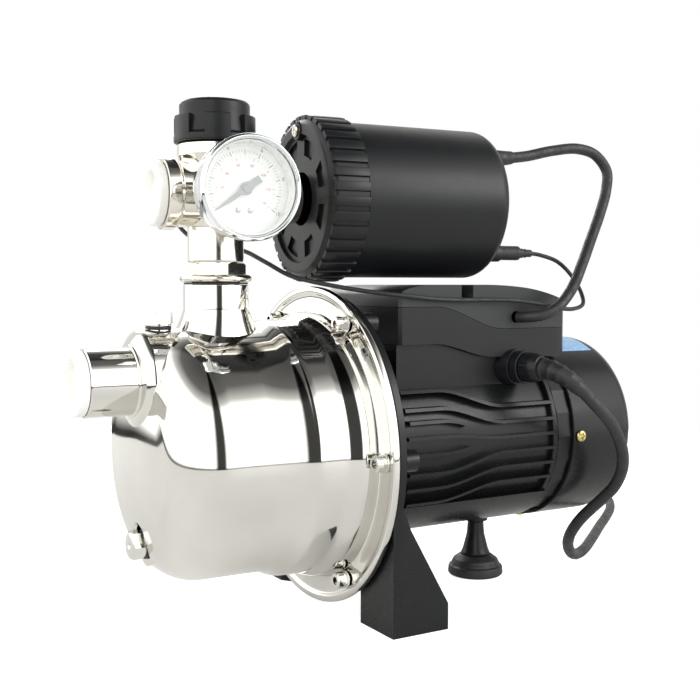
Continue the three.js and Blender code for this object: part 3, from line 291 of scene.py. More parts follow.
def worked(base, operation, *tools):
    """base with each tool cut away (DIFFERENCE), joined (UNION) or kept where both are (INTERSECT)."""
    made = []
    for shape in (base, *tools):
        mesh = bpy.data.meshes.new("blank")
        shape.to_mesh(mesh)
        shape.free()
        made.append(link("blank", mesh))
    for tool in made[1:]:
        step = made[0].modifiers.new("work", "BOOLEAN")
        step.operation = operation
        step.solver = "MANIFOLD"
        step.object = tool
    bpy.context.view_layer.update()
    graph = bpy.context.evaluated_depsgraph_get()
    mesh = bpy.data.meshes.new_from_object(made[0].evaluated_get(graph))
    result = bmesh.new()
    result.from_mesh(mesh)
    for blank in made:
        bpy.data.objects.remove(blank)
    bpy.data.meshes.remove(mesh)
    return result


def cut(base, *tools):
    return worked(base, "DIFFERENCE", *tools)


def joined(base, *others):
    return worked(base, "UNION", *others)


def kept(base, *others):
    return worked(base, "INTERSECT", *others)


def piece(bm, name, slot, stands_for=(), body="pump_body", place=TO_ROW, sharp=30, material=None, edge=0):
    """Puts a finished shape into the frame: places it, shades it, hangs it on its body and hides the frame
    pieces it stands for.
    """
    bmesh.ops.remove_doubles(bm, verts=bm.verts, dist=0.001)
    bmesh.ops.dissolve_degenerate(bm, edges=bm.edges, dist=0.001)
    bmesh.ops.recalc_face_normals(bm, faces=bm.faces)
    bmesh.ops.transform(bm, matrix=place, verts=bm.verts)
    mesh = bpy.data.meshes.new(name)
    bm.to_mesh(mesh)
    bm.free()
    mesh.materials.append(material or FINISHES[slot])
    mesh.shade_smooth()
    mesh.set_sharp_from_angle(angle=math.radians(sharp))
    made = link(name, mesh)
    if edge:
        soften = made.modifiers.new("soft_edges", "BEVEL")
        soften.width = edge * 0.001
        soften.segments = 2
        soften.limit_method = "ANGLE"
        soften.angle_limit = math.radians(35)
        soften.harden_normals = True
        soften.use_clamp_overlap = True
    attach(made, body)
    if stands_for:
        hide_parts(*([stands_for] if isinstance(stands_for, str) else stands_for))
    return made


# ---- cords --------------------------------------------------------------------------------------

CORD_R = 4.3
CONTROLLER_CABLE_R = 4
SENSOR_CABLE_R = 1.5
FLOOR_Z = CORD_R + 0.1
GLAND_BASE = Vector((133.6, -52, 163.5))
GLAND_TURN = math.radians(15)
GLAND_AXIS = Vector((math.sin(GLAND_TURN), -math.cos(GLAND_TURN), 0))
GLAND_PLACE = Matrix.Translation(GLAND_BASE) @ Matrix.Rotation(GLAND_TURN, 4, "Z")
COIL_CENTRE = (118, 178)
COIL_OUTER_R = 53.25
COIL_PITCH = 8.6
COIL_LAST = 600  # degrees, where the cord climbs off its inner turn
COIL_EXIT = 800
COIL_EXIT_R = 62.5
COIL_STEP = 20
PLUG_R = 19
PLUG_AT = (26, COIL_CENTRE[1] + COIL_EXIT_R, PLUG_R + 0.4)
CABLE_ENTRY = (135.5, -52, 199)


def along_gland(distance, drop=0):
    return tuple(GLAND_BASE + GLAND_AXIS * distance - Vector((0, 0, drop)))


def from_fitting(point):
    return tuple(ON_FITTING @ Vector(point))


def coil_point(degrees, radius, z):
    angle = math.radians(degrees)
    return (COIL_CENTRE[0] + radius * math.cos(angle), COIL_CENTRE[1] + radius * math.sin(angle), z)


def coil_route():
    """The flat turns of the coil, the climb off the inner turn and the run across to the plug."""
    turns = range(100, COIL_LAST, COIL_STEP)
    points = [coil_point(d, COIL_OUTER_R - COIL_PITCH * (d - 90) / 360, FLOOR_Z) for d in turns]
    inner = COIL_OUTER_R - COIL_PITCH * (COIL_LAST - 90) / 360
    for degrees in range(COIL_LAST, COIL_EXIT + 1, COIL_STEP):
        radius = smooth_step(degrees, 680, COIL_EXIT, inner, COIL_EXIT_R)
        points.append(coil_point(degrees, radius, smooth_step(degrees, COIL_LAST, 690, FLOOR_Z, 13.3)))
    y = PLUG_AT[1]
    across = [(COIL_CENTRE[0] - x, y, z) for x, z in ((12, 13.6), (30, 16), (47, 19))]
    return points + across + [(PLUG_AT[0] + 30.6, y, PLUG_AT[2])]


POWER_CORD_ROUTE = [
    along_gland(24.3), along_gland(33, 1.4),
    (146.3, -92.8, 158), (155, -99.5, 149), (167, -102.5, 137), (182, -100.5, 124.5), (193, -97.5, 111.5),
    (200, -94, 99.5), (205, -88, 87), (206.5, -79.5, 74.5), (206, -70, 65), (203, -60, 55), (200, -51, 45),
    (200, -41, 33), (206, -31, 21.5), (217, -22, 11.5), (232, -12, 5.6),
] + [(x, y, FLOOR_Z) for x, y in (
    (250, -1), (284, 25), (325, 58), (358, 84), (388, 110), (414, 140), (430, 172), (428, 206), (408, 231),
    (375, 240), (335, 236), (290, 231.6), (240, 231.3), (180, 231.25), (123, 231.25))] + coil_route()

CONTROLLER_CABLE_ROUTE = [
    from_fitting((199.3, -18, 313)), from_fitting((211, -18, 313.4)),
    (160, -31, 316.5), (185, -31, 322), (210, -32, 325), (226, -34, 321), (234, -38, 309), (230, -42, 294),
    (219, -47, 275), (205, -53, 256), (190, -60, 237), (174, -67, 219), (158, -70, 206), (146, -67, 200.5),
    (138.5, -60, 199.2), (CABLE_ENTRY[0], CABLE_ENTRY[1] - 1.5, CABLE_ENTRY[2]),
]

SENSOR_CABLE_ROUTE = [
    from_fitting((237.3, -20, 245)), from_fitting((245, -20, 244)),
    (186, -38, 239), (196, -42, 229), (200, -48, 217), (196, -55, 208), (184, -59, 204.5), (168, -60.5, 205),
    (148, -60.5, 208.5), (126, -59.5, 211), (104, -57, 211.5), (82, -56, 211.5), (60, -56, 212.5),
    (42, -56, 214.3), (26, -52, 216), (8, -43, 218.6), (-7, -34, 221.6), (-18, -26, 224.4), (-27, -14, 228.2),
    (-35, 5, 237), (-41, 26, 245), (-48, 46, 249), (-56, 64, 252.5), (-63, 78, 258.5), (-67.5, 84.5, 267),
    (-69.2, 81, 276.5), from_fitting((0, 73, 280)), from_fitting((0, 64.3, 280)),
]


def sampled(route, steps=12):
    """A smooth line through the points, eased by the square root of their spacing."""
    points = [Vector(p) for p in route]
    points = [points[0] * 2 - points[1]] + points + [points[-1] * 2 - points[-2]]
    line = []
    for a, b, c, d in zip(points, points[1:], points[2:], points[3:]):
        knots = [0.0]
        for p, q in ((a, b), (b, c), (c, d)):
            knots.append(knots[-1] + math.sqrt((q - p).length))
        t0, t1, t2, t3 = knots
        for i in range(steps):
            t = t1 + (t2 - t1) * i / steps
            ab = (a * (t1 - t) + b * (t - t0)) / (t1 - t0)
            bc = (b * (t2 - t) + c * (t - t1)) / (t2 - t1)
            cd = (c * (t3 - t) + d * (t - t2)) / (t3 - t2)
            abc = (ab * (t2 - t) + bc * (t - t0)) / (t2 - t0)
            bcd = (bc * (t3 - t) + cd * (t - t1)) / (t3 - t1)
            line.append((abc * (t2 - t) + bcd * (t - t1)) / (t2 - t1))
    return line + [points[-2]]


def lead(name, route, radius, slot="black_rubber"):
    """A round lead along a route, as one smooth curve."""
    line = [TO_ROW @ p for p in sampled(route)]
    curve = bpy.data.curves.new(name, "CURVE")
    curve.dimensions = "3D"
    run = curve.splines.new("POLY")
    run.points.add(len(line) - 1)
    for point, place in zip(run.points, line):
        point.co = (*place, 1)
    run.use_smooth = True
    curve.bevel_depth = radius * 0.001
    curve.bevel_resolution = 5
    curve.use_fill_caps = True
    curve.materials.append(FINISHES[slot])
    made = link(name + "_lead", curve)
    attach(made, "pump_body")
    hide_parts(name)
    return made, line


def sleeve(name, route, start, end, radii, slot="black_rubber", ribs=0, stands_for=()):
    """A tapered sleeve round the first stretch of a lead, with grip ribs where it has them."""
    line = sampled(route)
    travelled = 0
    stations = []
    for p, q in zip(line, line[1:]):
        if start <= travelled <= end:
            stations.append((travelled, p, (q - p).normalized()))
        travelled += (q - p).length
    bm = bmesh.new()
    rings = []
    for distance, centre, along in stations:
        t = (distance - stations[0][0]) / max(1e-6, stations[-1][0] - stations[0][0])
        radius = radii[0] + (radii[1] - radii[0]) * t
        if ribs:
            radius += 0.55 * max(0, math.sin(2 * math.pi * ribs * t)) * (1 - 0.4 * t)
        turn = along.to_track_quat("X", "Z").to_matrix().to_4x4()
        ring = bmesh.ops.create_circle(bm, segments=32, radius=radius)["verts"]
        stand = Matrix.Translation(centre) @ turn @ Matrix.Rotation(math.pi / 2, 4, "Y")
        bmesh.ops.transform(bm, matrix=stand, verts=ring)
        rings.append([e for e in bm.edges if e.verts[0] in ring and e.verts[1] in ring])
    for first, second in zip(rings, rings[1:]):
        bmesh.ops.bridge_loops(bm, edges=first + second)
    bmesh.ops.holes_fill(bm, edges=rings[0] + rings[-1], sides=0)
    return piece(bm, name, slot, stands_for)


power_lead, power_line = lead("power_cord", POWER_CORD_ROUTE, CORD_R)
controller_lead, controller_line = lead("controller_cable", CONTROLLER_CABLE_ROUTE, CONTROLLER_CABLE_R)
sensor_lead, sensor_line = lead("sensor_cable", SENSOR_CABLE_ROUTE, SENSOR_CABLE_R)
gland_relief = sleeve("gland_relief", POWER_CORD_ROUTE, 0, 34, (7.6, 5.0), ribs=5)
controller_sleeve = sleeve("controller_sleeve", CONTROLLER_CABLE_ROUTE, 0, 22, (6.6, 4.7))


def power_plug():
    """A round two-pin moulded plug with a ribbed grip, lying on its side beside the coil."""
    shell = [(-20, 14), (-18.5, 14.5), (-18.5, PLUG_R - 2.5), (-16, PLUG_R), (6, PLUG_R), (10, 17),
             (14, 12.4)]
    grip = [(x, 11.6 - 0.30 * (x - 15) + 0.7 * math.sin((x - 15) * 1.9)) for x in range(15, 29)]
    shape = lathe(shell + grip + [(30, 6.4)], "x", PLUG_AT, 64, 1.2)
    pins = [lathe([(-39, 2.4), (-20, 2.4)], "x", (PLUG_AT[0], PLUG_AT[1] + side, PLUG_AT[2]), 24, 1.4, 4)
            for side in (-9.5, 9.5)]
    made = piece(shape, "mains_plug", "black_rubber", "power_plug")
    return made, piece(together(*pins), "mains_plug_pins", "nickel_plate")


mains_plug, plug_pins = power_plug()

# ---- hydraulic end ------------------------------------------------------------------------------

CASING_R = 81.5
DOME_R = 34
DOME_X = -95.2
CASING_FRONT_X = -131.5
CASING_WALL = 2.5
PAD_FRONT_X = -133.4
PAD_ROOT_X = -98
FLANGE_R = 109
BOLT_CIRCLE_R = 97.5
BOLT_COUNT = 6
PORT_R = 21.5
PORT_BORE_R = 16.5
SUCTION = (0, 0, 161)
SUCTION_TIP_X = -164
NECK_TOP_Z = 222
FILL_X = -114
FILL_SEAT_Z = 193.6
DRAIN = (0, 0, 56)
DRAIN_SEAT_X = -124
HEX_ACROSS = 17


def casing_neck():
    """The discharge neck: a drawn skirt that hugs the casing, and the threaded socket above it."""
    here = (NECK_X, 0, 0)
    foot, shoulder, hugging = 185, 206, 16
    skirt = [(foot, 31.5), (186.5, 31.2), (190, 28.6), (195, 25), (200, 22.8), (shoulder, PORT_R)]
    bm = turned([(foot, 0)] + eased(skirt, 2.5) + [(shoulder, 0)], "z", here, 128)
    for vert in bm.verts:
        hug = min(1, max(0, (shoulder - vert.co.z) / hugging))
        across = min(abs(vert.co.y), 40)
        vert.co.z += hug * (math.sqrt(CASING_R ** 2 - across ** 2) - CASING_R + 7.5 * (1 - hug))
    socket = [(200, PORT_R), (NECK_TOP_Z, PORT_R), (NECK_TOP_Z, PORT_BORE_R), (186, PORT_BORE_R)]
    return together(bm, lathe(socket, "z", here, 128, 0.6))


def pump_casing():
    """The drawn casing with its crowned dome, beads and flange, and what is welded to it."""
    centre_r = CASING_R - DOME_R
    crown = shifted([(0, 0), (0.1, 14), (0.6, 28), (1.6, 41)], CASING_FRONT_X)
    steps = [(-52, 81.8), (-42, 86.2), (-24, 86.7), (-14, 90.4), (-4.4, 91.2), (-3.8, 91.6), (-3.2, 95),
             (-3.2, 102.6), (-4.8, 104.6), (-4.8, 108.2), (-4, FLANGE_R), (-0.8, FLANGE_R), (0, 108.2)]
    outside = crown + arc(DOME_X, centre_r, DOME_R, 180, 90, 26) + [(-72, 81.6)] + eased(steps, 2.6, 5)
    inside = [(0, 84.5), (-42, 83.6), (-50, 79.4)] + arc(DOME_X, centre_r, DOME_R - CASING_WALL, 90, 180, 12)
    shell = turned(outside + inside + [(CASING_FRONT_X + CASING_WALL, 0)], "x", SHAFT, 192)
    pocket = [(-140, 17), (-132, 15.2), (-128, 13.2), (DRAIN_SEAT_X - 0.6, 12.4), (DRAIN_SEAT_X, 11.4)]
    shell = cut(shell, lathe(pocket, "x", DRAIN, 64, 1.5, 4), rod("x", -135, -120, PORT_BORE_R, SUCTION, 64),
                rod("z", 176, 200, 6, (FILL_X, 0, 0), 32),
                rod("z", 170, 200, PORT_BORE_R, (NECK_X, 0, 0), 64))
    pad = [(-120, PORT_BORE_R), (PAD_FRONT_X, PORT_BORE_R), (PAD_FRONT_X, 25.4), (-129, 32.4),
           (PAD_ROOT_X, 33.2), (PAD_ROOT_X, 30.6), (-120, 30)]
    tip = [(0.7, PORT_R), (0, PORT_R - 0.7), (0, PORT_BORE_R + 0.6), (0.6, PORT_BORE_R)]
    tube = [(-131, PORT_R)] + shifted(tip, SUCTION_TIP_X) + [(-131, PORT_BORE_R)]
    weld = arc(-133.3, PORT_R + 0.2, 1.6, 0, 360, 15)[:-1]
    boss = [(180, 11.4), (190.5, 9.8), (192.5, 8.5), (FILL_SEAT_Z, 8.3), (FILL_SEAT_Z, 6), (185, 6)]
    whole = together(shell, ring(pad, "x", SUCTION, 128, 3.2, 8), ring(tube, "x", SUCTION, 96),
                     ring(weld, "x", SUCTION, 96), rod("x", DRAIN_SEAT_X, DRAIN_SEAT_X + 5, 14.5, DRAIN, 48),
                     lathe(boss, "z", (FILL_X, 0, 0), 64, 0.8), casing_neck())
    piece(whole, "casing", "polished_stainless", "pump_casing", sharp=34)


def thread_cap(name, rim_x, centre, body, stands_for, place):
    """A push-in cap: a lip over the rim, a shallow dished face and a ribbed plug in the bore."""
    lip, plug = 20.6, 15.8
    ribs = [(13 - i, plug - (0.5 if i % 2 else 0)) for i in range(13)]
    face = [(-0.3, plug), (-0.3, lip), (-5.5, lip), (-7, lip - 1.5), (-7, plug - 0.4), (-5.2, plug - 1.4),
            (-1, plug - 2), (-1, 4), (-1.8, 2.6)]
    shape = lathe(ribs + face, "x", centre, 96, 0.7, start=rim_x)
    piece(shape, name, "white_plastic", stands_for, body, place)


def hex_plug(name, axis, seat, outward, centre, body, stands_for):
    """A hexagon plug with a round washer face, chamfered corners and a threaded shank."""
    def spun(outline, steps, ease=0):
        return lathe(outline, axis, centre, steps, ease, start=seat, way=outward)

    low, high = sorted((seat + 1.4 * outward, seat + 9 * outward))
    offset = Vector(centre)
    offset["xyz".index(axis)] = 0
    head = moved(slab(polygon(6, HEX_ACROSS / math.sqrt(3)), axis, low, high), Matrix.Translation(offset))
    head = kept(head, spun([(-2, 12), (7.6, 10.4), (9, 7.7)], 64))
    head = cut(head, spun([(9.4, 3), (8.2, 1.6)], 32))
    face = spun([(0, 8.6), (1.5, 8.6)], 48, 0.4)
    ridges = [(0.5 * i - 8, 5.6 if i % 2 else 5.1) for i in range(16)]
    shank = spun(ridges + [(0.2, 5.6)], 32)
    piece(together(head, face, shank), name, "polished_stainless", stands_for, body)


def seal_ring(name, axis, low, high, outer, inner, centre, body, stands_for):
    section = [(low, inner), (low, outer), (high, outer), (high, inner)]
    piece(ring(section, axis, centre, 64, 0.5), name, "black_rubber", stands_for, body)


def discharge_nipple():
    """A round collar, a hexagon above it and a thread below, bored right through."""
    seat, hex_top, across = NECK_TOP_Z + 1.8, 236, 34
    here = (NECK_X, 0, 0)
    collar_ring = lathe([(0, 22), (1.4, 23.7), (3.2, 23.7), (4.8, 22)], "z", here, 128, 1, 4, seat)
    hexagon = slab(polygon(6, across / math.sqrt(3), math.pi / 6, (NECK_X, 0)), "z", seat + 4.4, hex_top)
    ball = lathe([(seat, 21), (234.6, 19.9), (hex_top + 0.01, 18.4)], "z", here)
    ridges = [(NECK_TOP_Z - 16 + i, 15.9 if i % 2 else 15.2) for i in range(17)]
    shank = lathe(ridges + [(seat + 0.2, 15.9)], "z", here)
    spigot = lathe([(234, 14.2), (245.4, 14.2), (246, 13.6)], "z", here)
    whole = joined(collar_ring, kept(hexagon, ball), shank, spigot)
    whole = cut(whole, rod("z", 204, 250, 11.5, here, 64))
    piece(whole, "nipple", "nickel_plate", "discharge_nipple", edge=0.3)
    seal_ring("nipple_seal", "z", NECK_TOP_Z + 0.3, NECK_TOP_Z + 1.5, 21, 17.2, here, "pump_body",
              "neck_seal")


def bolt_place(i):
    """Where a flange bolt goes, counted from the near side upwards."""
    angle = 2 * math.pi * i / BOLT_COUNT
    return (0, -BOLT_CIRCLE_R * math.cos(angle), AXIS_Z + BOLT_CIRCLE_R * math.sin(angle))


def flange_bolts():
    """Socket cap screws: a knurled drum head with a hexagon recess, on a plain washer."""
    seat = -4.1
    for i in range(BOLT_COUNT):
        centre = bolt_place(i)
        knurls = slab([p for a in range(24) for p in polygon(1, 5.34 if a % 2 else 5.1, a * math.pi / 12)],
                      "x", seat - 7, seat - 2.2)
        recess = slab(polygon(6, 5 / math.sqrt(3)), "x", seat - 9, seat - 3.6)
        knurls, recess = [moved(shape, Matrix.Translation(centre)) for shape in (knurls, recess)]
        head = lathe([(-8, 4.6), (-7.3, 5.3), (-1.2, 5.3)], "x", centre, 48, start=seat)
        washer = lathe([(-1.3, 5.9), (0, 5.9)], "x", centre, 48, 0.3, 2, seat)
        shank = lathe([(seat - 1, 2.9), (12.4, 2.9), (13, 2.3)], "x", centre, 24)
        piece(together(cut(joined(head, knurls), recess), washer, shank), f"cap_screw_{i + 1}",
              "polished_stainless", f"flange_bolt_{i + 1}")


def hydraulic_end():
    pump_casing()
    thread_cap("suction_cap_moulding", SUCTION_TIP_X, SUCTION, "suction_cap", "suction_thread_cap", TO_ROW)
    fill = (FILL_X, 0, 0)
    hex_plug("fill_hex_plug", "z", FILL_SEAT_Z + 2.2, 1, fill, "fill_cap", "fill_plug")
    seal_ring("fill_seal", "z", FILL_SEAT_Z + 0.3, FILL_SEAT_Z + 1.9, 8.2, 6, fill, "fill_cap",
              "fill_plug_seal")
    hex_plug("drain_hex_plug", "x", DRAIN_SEAT_X - 2.2, -1, DRAIN, "drain_cap", "drain_plug")
    seal_ring("drain_seal", "x", DRAIN_SEAT_X - 1.9, DRAIN_SEAT_X - 0.3, 9.6, 6, DRAIN, "drain_cap",
              "drain_plug_seal")
    discharge_nipple()
    flange_bolts()


# ---- motor --------------------------------------------------------------------------------------

MOTOR_FRONT_X = 28
MOTOR_REAR_X = 164
MOTOR_R = 67.6
MOTOR_CORE_R = 62
MOTOR_BORE_R = 58
COVER_FRONT_X = 177
COVER_REAR_X = 238
COVER_R = 68.5
BOX_X0 = 36
BOX_X1 = 187
BOX_HALF_Y = 52
BEND = (64, 116)
FOOT_X = 140
LID_SCREW_X = 92
LID_SCREW_Y = 40
FIN_PATHS = (
    (34, 163, 150, 137.5),
    (34, 166, 138.3, 126.3),
    (36, 84, 130, 118),
    (34, 168, 119.6, 115.8),
    (36, 84, 108, 116),
    (36, 168, 94.8, 105.2),
    (36, 167, 84, 94.4),
    (40, 164, 72.6, 83.4),
)
FIN_THICK = 2.2


def stations(low, high, step=4):
    count = max(2, round((high - low) / step))
    return [low + (high - low) * i / count for i in range(count + 1)]


def fin(start, end, front, rear):
    """One cooling fin: level at the pump end, then an S bend to its height at the fan end."""
    xs = stations(start, min(end, MOTOR_REAR_X - 2))
    middle = [(x, smooth_step(x, *BEND, front, rear)) for x in xs]
    upper = [(x, z + FIN_THICK / 2) for x, z in middle]
    lower = [(x, z - FIN_THICK / 2) for x, z in middle]
    return slab(lower + upper[::-1], "y", -75, 75)


def box_seam(offset, low, high):
    return [(x, smooth_step(x, *BEND, 181.5, 171) + offset) for x in stations(low, high)]


def lid_seam(offset, low=BOX_X0, high=BOX_X1):
    return [(x, smooth_step(x, 66, 124, 207, 191) + offset) for x in stations(low, high)]


def gland_turned(outline, ease=0):
    return moved(lathe(outline, "-y", steps=64, ease=ease), GLAND_PLACE)


def motor_housing():
    """The finned barrel with its smooth belly, end rims, terminal box seat and foot boss."""
    def barrel(radius, steps=128, past=0):
        return rod("x", MOTOR_FRONT_X - past, MOTOR_REAR_X + past, radius, SHAFT, steps)

    fins = kept(together(*[fin(*path) for path in FIN_PATHS]), barrel(MOTOR_R))
    belly = kept(barrel(MOTOR_R), block(20, 190, -80, 80, 30, 71))
    seat = [(BOX_X0, 150), (150, 150)] + box_seam(-0.3, BOX_X0, 150)[::-1]
    pedestal = cut(slab(seat, "y", -BOX_HALF_Y + 4, BOX_HALF_Y - 4), gland_turned([(-16, 13.2), (2, 13.2)]))
    rims = [rod("x", x, x + 4, 66, SHAFT, 128, 0.6) for x in (MOTOR_FRONT_X, MOTOR_REAR_X - 4)]
    foot_boss = rod("z", 42, 52, 9, (FOOT_X, 0, 0), 48)
    whole = joined(barrel(MOTOR_CORE_R), fins, belly, pedestal, *rims, foot_boss)
    whole = cut(whole, barrel(MOTOR_BORE_R, 96, 1), rod("z", 160, 200, 9, (60, 0, 0), 32))
    piece(whole, "finned_housing", "black_casting", "motor_housing", edge=0.5)


def fan_cover():
    """The smooth cowl, with a ring of air slots in its end."""
    corner, wall = 12, 2.5
    centre = (COVER_REAR_X - corner, COVER_R - corner)
    outline = shifted([(0, COVER_R - wall), (0, COVER_R - 0.5), (0.5, COVER_R)], COVER_FRONT_X)
    outline += arc(*centre, corner, 90, 0, 12) + shifted([(0, 14), (0, 0), (-wall, 0)], COVER_REAR_X)
    outline += arc(*centre, corner - wall, 0, 90, 8)
    shell = turned(outline + outline[:1], "x", SHAFT, 128)
    slots = []
    for i in range(16):
        inner, outer, root, tip = (33, 53, 1.6, 3) if i % 2 else (20, 50, 2.2, 4)
        slot = slab(eased([(inner, -root), (outer, -tip), (outer, tip), (inner, root)], 2, 4, True),
                    "x", COVER_REAR_X - 6, COVER_REAR_X + 2)
        slots.append(about_shaft(slot, 22.5 * i))
    piece(cut(shell, *slots), "fan_cowl", "black_casting", "fan_cover", edge=0.4)


def cowl_label():
    """A plain coloured strip wrapped over the top of the fan cover."""
    front, rear = COVER_FRONT_X + 9, COVER_FRONT_X + 47
    under, over = COVER_R + 0.05, COVER_R + 0.3
    strip = ring([(front, under), (front, over), (rear, over), (rear, under)], "x", SHAFT, 128)
    piece(kept(strip, block(150, 250, -34, 34, 150, 200)), "cowl_label", "black_plastic", material=BLUE_LABEL)


def cowl_screws():
    """Pan-head cross-recess screws round the front edge of the fan cover."""
    turn_in = Matrix.Translation((COVER_FRONT_X + 6, 0, AXIS_Z))
    for i, degrees in enumerate((0, 180, 270)):
        dome = [(0.3, 4.3), (1.2, 4.25), (2.1, 3.5), (2.6, 1.8)]
        head = lathe(dome, "z", steps=48, ease=0.6, start=COVER_R)
        for long, wide in ((2.6, 0.55), (0.55, 2.6)):
            head = cut(head, block(-long, long, -wide, wide, COVER_R + 1.1, COVER_R + 3.6))
        shape = together(head, rod("z", 58, COVER_R + 0.4, 1.9, steps=24))
        shape = moved(shape, turn_in @ Matrix.Rotation(math.radians(90 - degrees), 4, "X"))
        piece(shape, f"cowl_screw_{i + 1}", "zinc_yellow", f"fan_cover_screw_{i + 1}")


def box_plan(inset):
    corner = 14 - inset
    x0, x1, y = BOX_X0 + inset, BOX_X1 - inset, BOX_HALF_Y - inset
    near = [(x1 - corner + u, -y + corner + v) for u, v in arc(0, 0, corner, -90, 0, 8)]
    far = [(x1 - corner + u, y - corner + v) for u, v in arc(0, 0, corner, 0, 90, 8)]
    return [(x0 + 2, -y)] + near + far + [(x0 + 2, y), (x0, y - 2), (x0, -y + 2)]


def terminal_box():
    outline = box_seam(0, BOX_X0, 150) + [(BOX_X1 - 12, 169), (BOX_X1, 173)] + lid_seam(-0.3)[::-1]
    outside = kept(slab(outline, "y", -60, 60), slab(box_plan(0), "z", 140, 240))
    hollow = [(42, 186), (66, 186), (116, 176), (140, 184), (180, 184), (180, 240), (42, 240)]
    whole = cut(joined(outside, gland_turned([(-14, 12.8), (3.4, 12.8)], 0.8)),
                rod("x", 20, 159.5, MOTOR_CORE_R + 0.3, SHAFT, 128),
                rod("x", 159.5, 200, COVER_R + 0.8, SHAFT, 128), slab(hollow, "y", -47, 47),
                gland_turned([(-15, 6.4), (4, 6.4)]), rod("z", 150, 200, 8, (60, 0, 0), 32))
    piece(whole, "connection_box", "black_plastic", "terminal_box", edge=0.6)


def terminal_box_lid():
    """A domed lid with a screw well on each long side, three grooves and the cable's way in."""
    seam = lid_seam(0)
    crest = [(BOX_X1, 206), (176, 213), (150, 219.5), (120, 222), (56, 222), (BOX_X0, 218)]
    outside = kept(slab(seam + eased([seam[-1]] + crest + [seam[0]], 14, 8)[1:-1], "y", -60, 60),
                   slab(box_plan(0), "z", 140, 240))
    under = lid_seam(-5) + [(BOX_X1, 203), (176, 209.5), (150, 216), (120, 218.5), (56, 218.5), (BOX_X0, 215)]
    whole = cut(outside, kept(slab(under, "y", -60, 60), slab(box_plan(3.5), "z", 140, 240)))
    for side in (-1, 1):
        well = (LID_SCREW_X, side * LID_SCREW_Y, 0)
        left, right = LID_SCREW_X - 7, LID_SCREW_X + 7
        boss = rod("z", 204, 220.5, 7, well, 40)
        whole = joined(whole, boss, block(left, right, *sorted((well[1], side * 51.4)), 204, 220.5))
        whole = cut(whole, rod("z", 213, 230, 5, well, 40),
                    block(left + 2, right - 2, *sorted((well[1], side * 60)), 213, 230),
                    rod("z", 190, 230, 2.4, well, 24))
    grooves = [block(x, x + 0.7, -60, 60, z, 240) for x, z in ((153, 217.8), (160.5, 216.2), (168, 213.9))]
    way_in = rod("y", -BOX_HALF_Y - 2, -BOX_HALF_Y + 5, CONTROLLER_CABLE_R + 0.3,
                 (CABLE_ENTRY[0], 0, CABLE_ENTRY[2]))
    whole = cut(whole, way_in, *grooves)
    piece(whole, "connection_box_lid", "dark_grey_plastic", "terminal_box_lid", edge=0.8)


def lid_screws():
    for i, side in enumerate((-1, 1)):
        y = side * LID_SCREW_Y
        centre = (LID_SCREW_X, y, 0)
        head = lathe([(213.3, 4.2), (215.6, 4.2), (216.5, 3)], "z", centre, 40, 0.5)
        head = cut(head, block(LID_SCREW_X - 4, LID_SCREW_X + 4, y - 0.6, y + 0.6, 215.2, 218))
        piece(together(head, rod("z", 192, 213.5, 2, centre, 24)), f"box_screw_{i + 1}", "nickel_plate",
              f"lid_screw_{i + 1}")


def cable_gland():
    """The hexless gland body and its fluted nut, both open for the cord."""
    inner = CORD_R + 0.6
    body = [(-9, inner), (-9, 6), (3.7, 6), (3.7, 11.2), (4.3, 11.8), (9.4, 11.8), (10, 11.2), (10, 8.8),
            (14, 8.6), (14, inner)]
    nut = [(10.6, 9.4), (10.6, 10.2), (11, 10.6), (18, 10.6), (21, 9.8), (23.4, 8.6), (24, 7.6), (24, inner),
           (15, inner), (15, 9.4)]
    body, nut = [moved(turned(outline + outline[:1], "-y", steps=64), GLAND_PLACE) for outline in (body, nut)]
    piece(body, "gland_body", "black_plastic", "cable_gland", edge=0.2)
    flutes = [moved(rod("y", -18.5, -10.4, 0.9, (x, 0, z), 12), GLAND_PLACE) for x, z in polygon(18, 11.1)]
    piece(cut(nut, together(*flutes)), "gland_nut", "black_plastic", "cable_gland_nut")


def rear_foot():
    centre = (FOOT_X, 0, 0)
    post = lathe([(16, 11.5), (20, 9.6), (32, 6.6), (41.6, 6)], "z", centre, 64, 1.6, 4)
    piece(together(post, rod("z", 5, 17, 4, centre, 24)), "foot_post", "black_plastic", "rear_foot_post")
    pad = [(0, 19.5), (1.5, 21), (7, 20.4), (7.6, 18.9), (8.6, 18.3), (9.4, 18.3), (10.2, 17.6), (12, 17),
           (15.6, 12)]
    tread = lathe(pad, "z", centre, 96, 0.9)
    piece(cut(tread, rod("z", 4.5, 17, 4.3, centre, 24)), "foot_pad", "black_rubber", "rear_foot_pad")


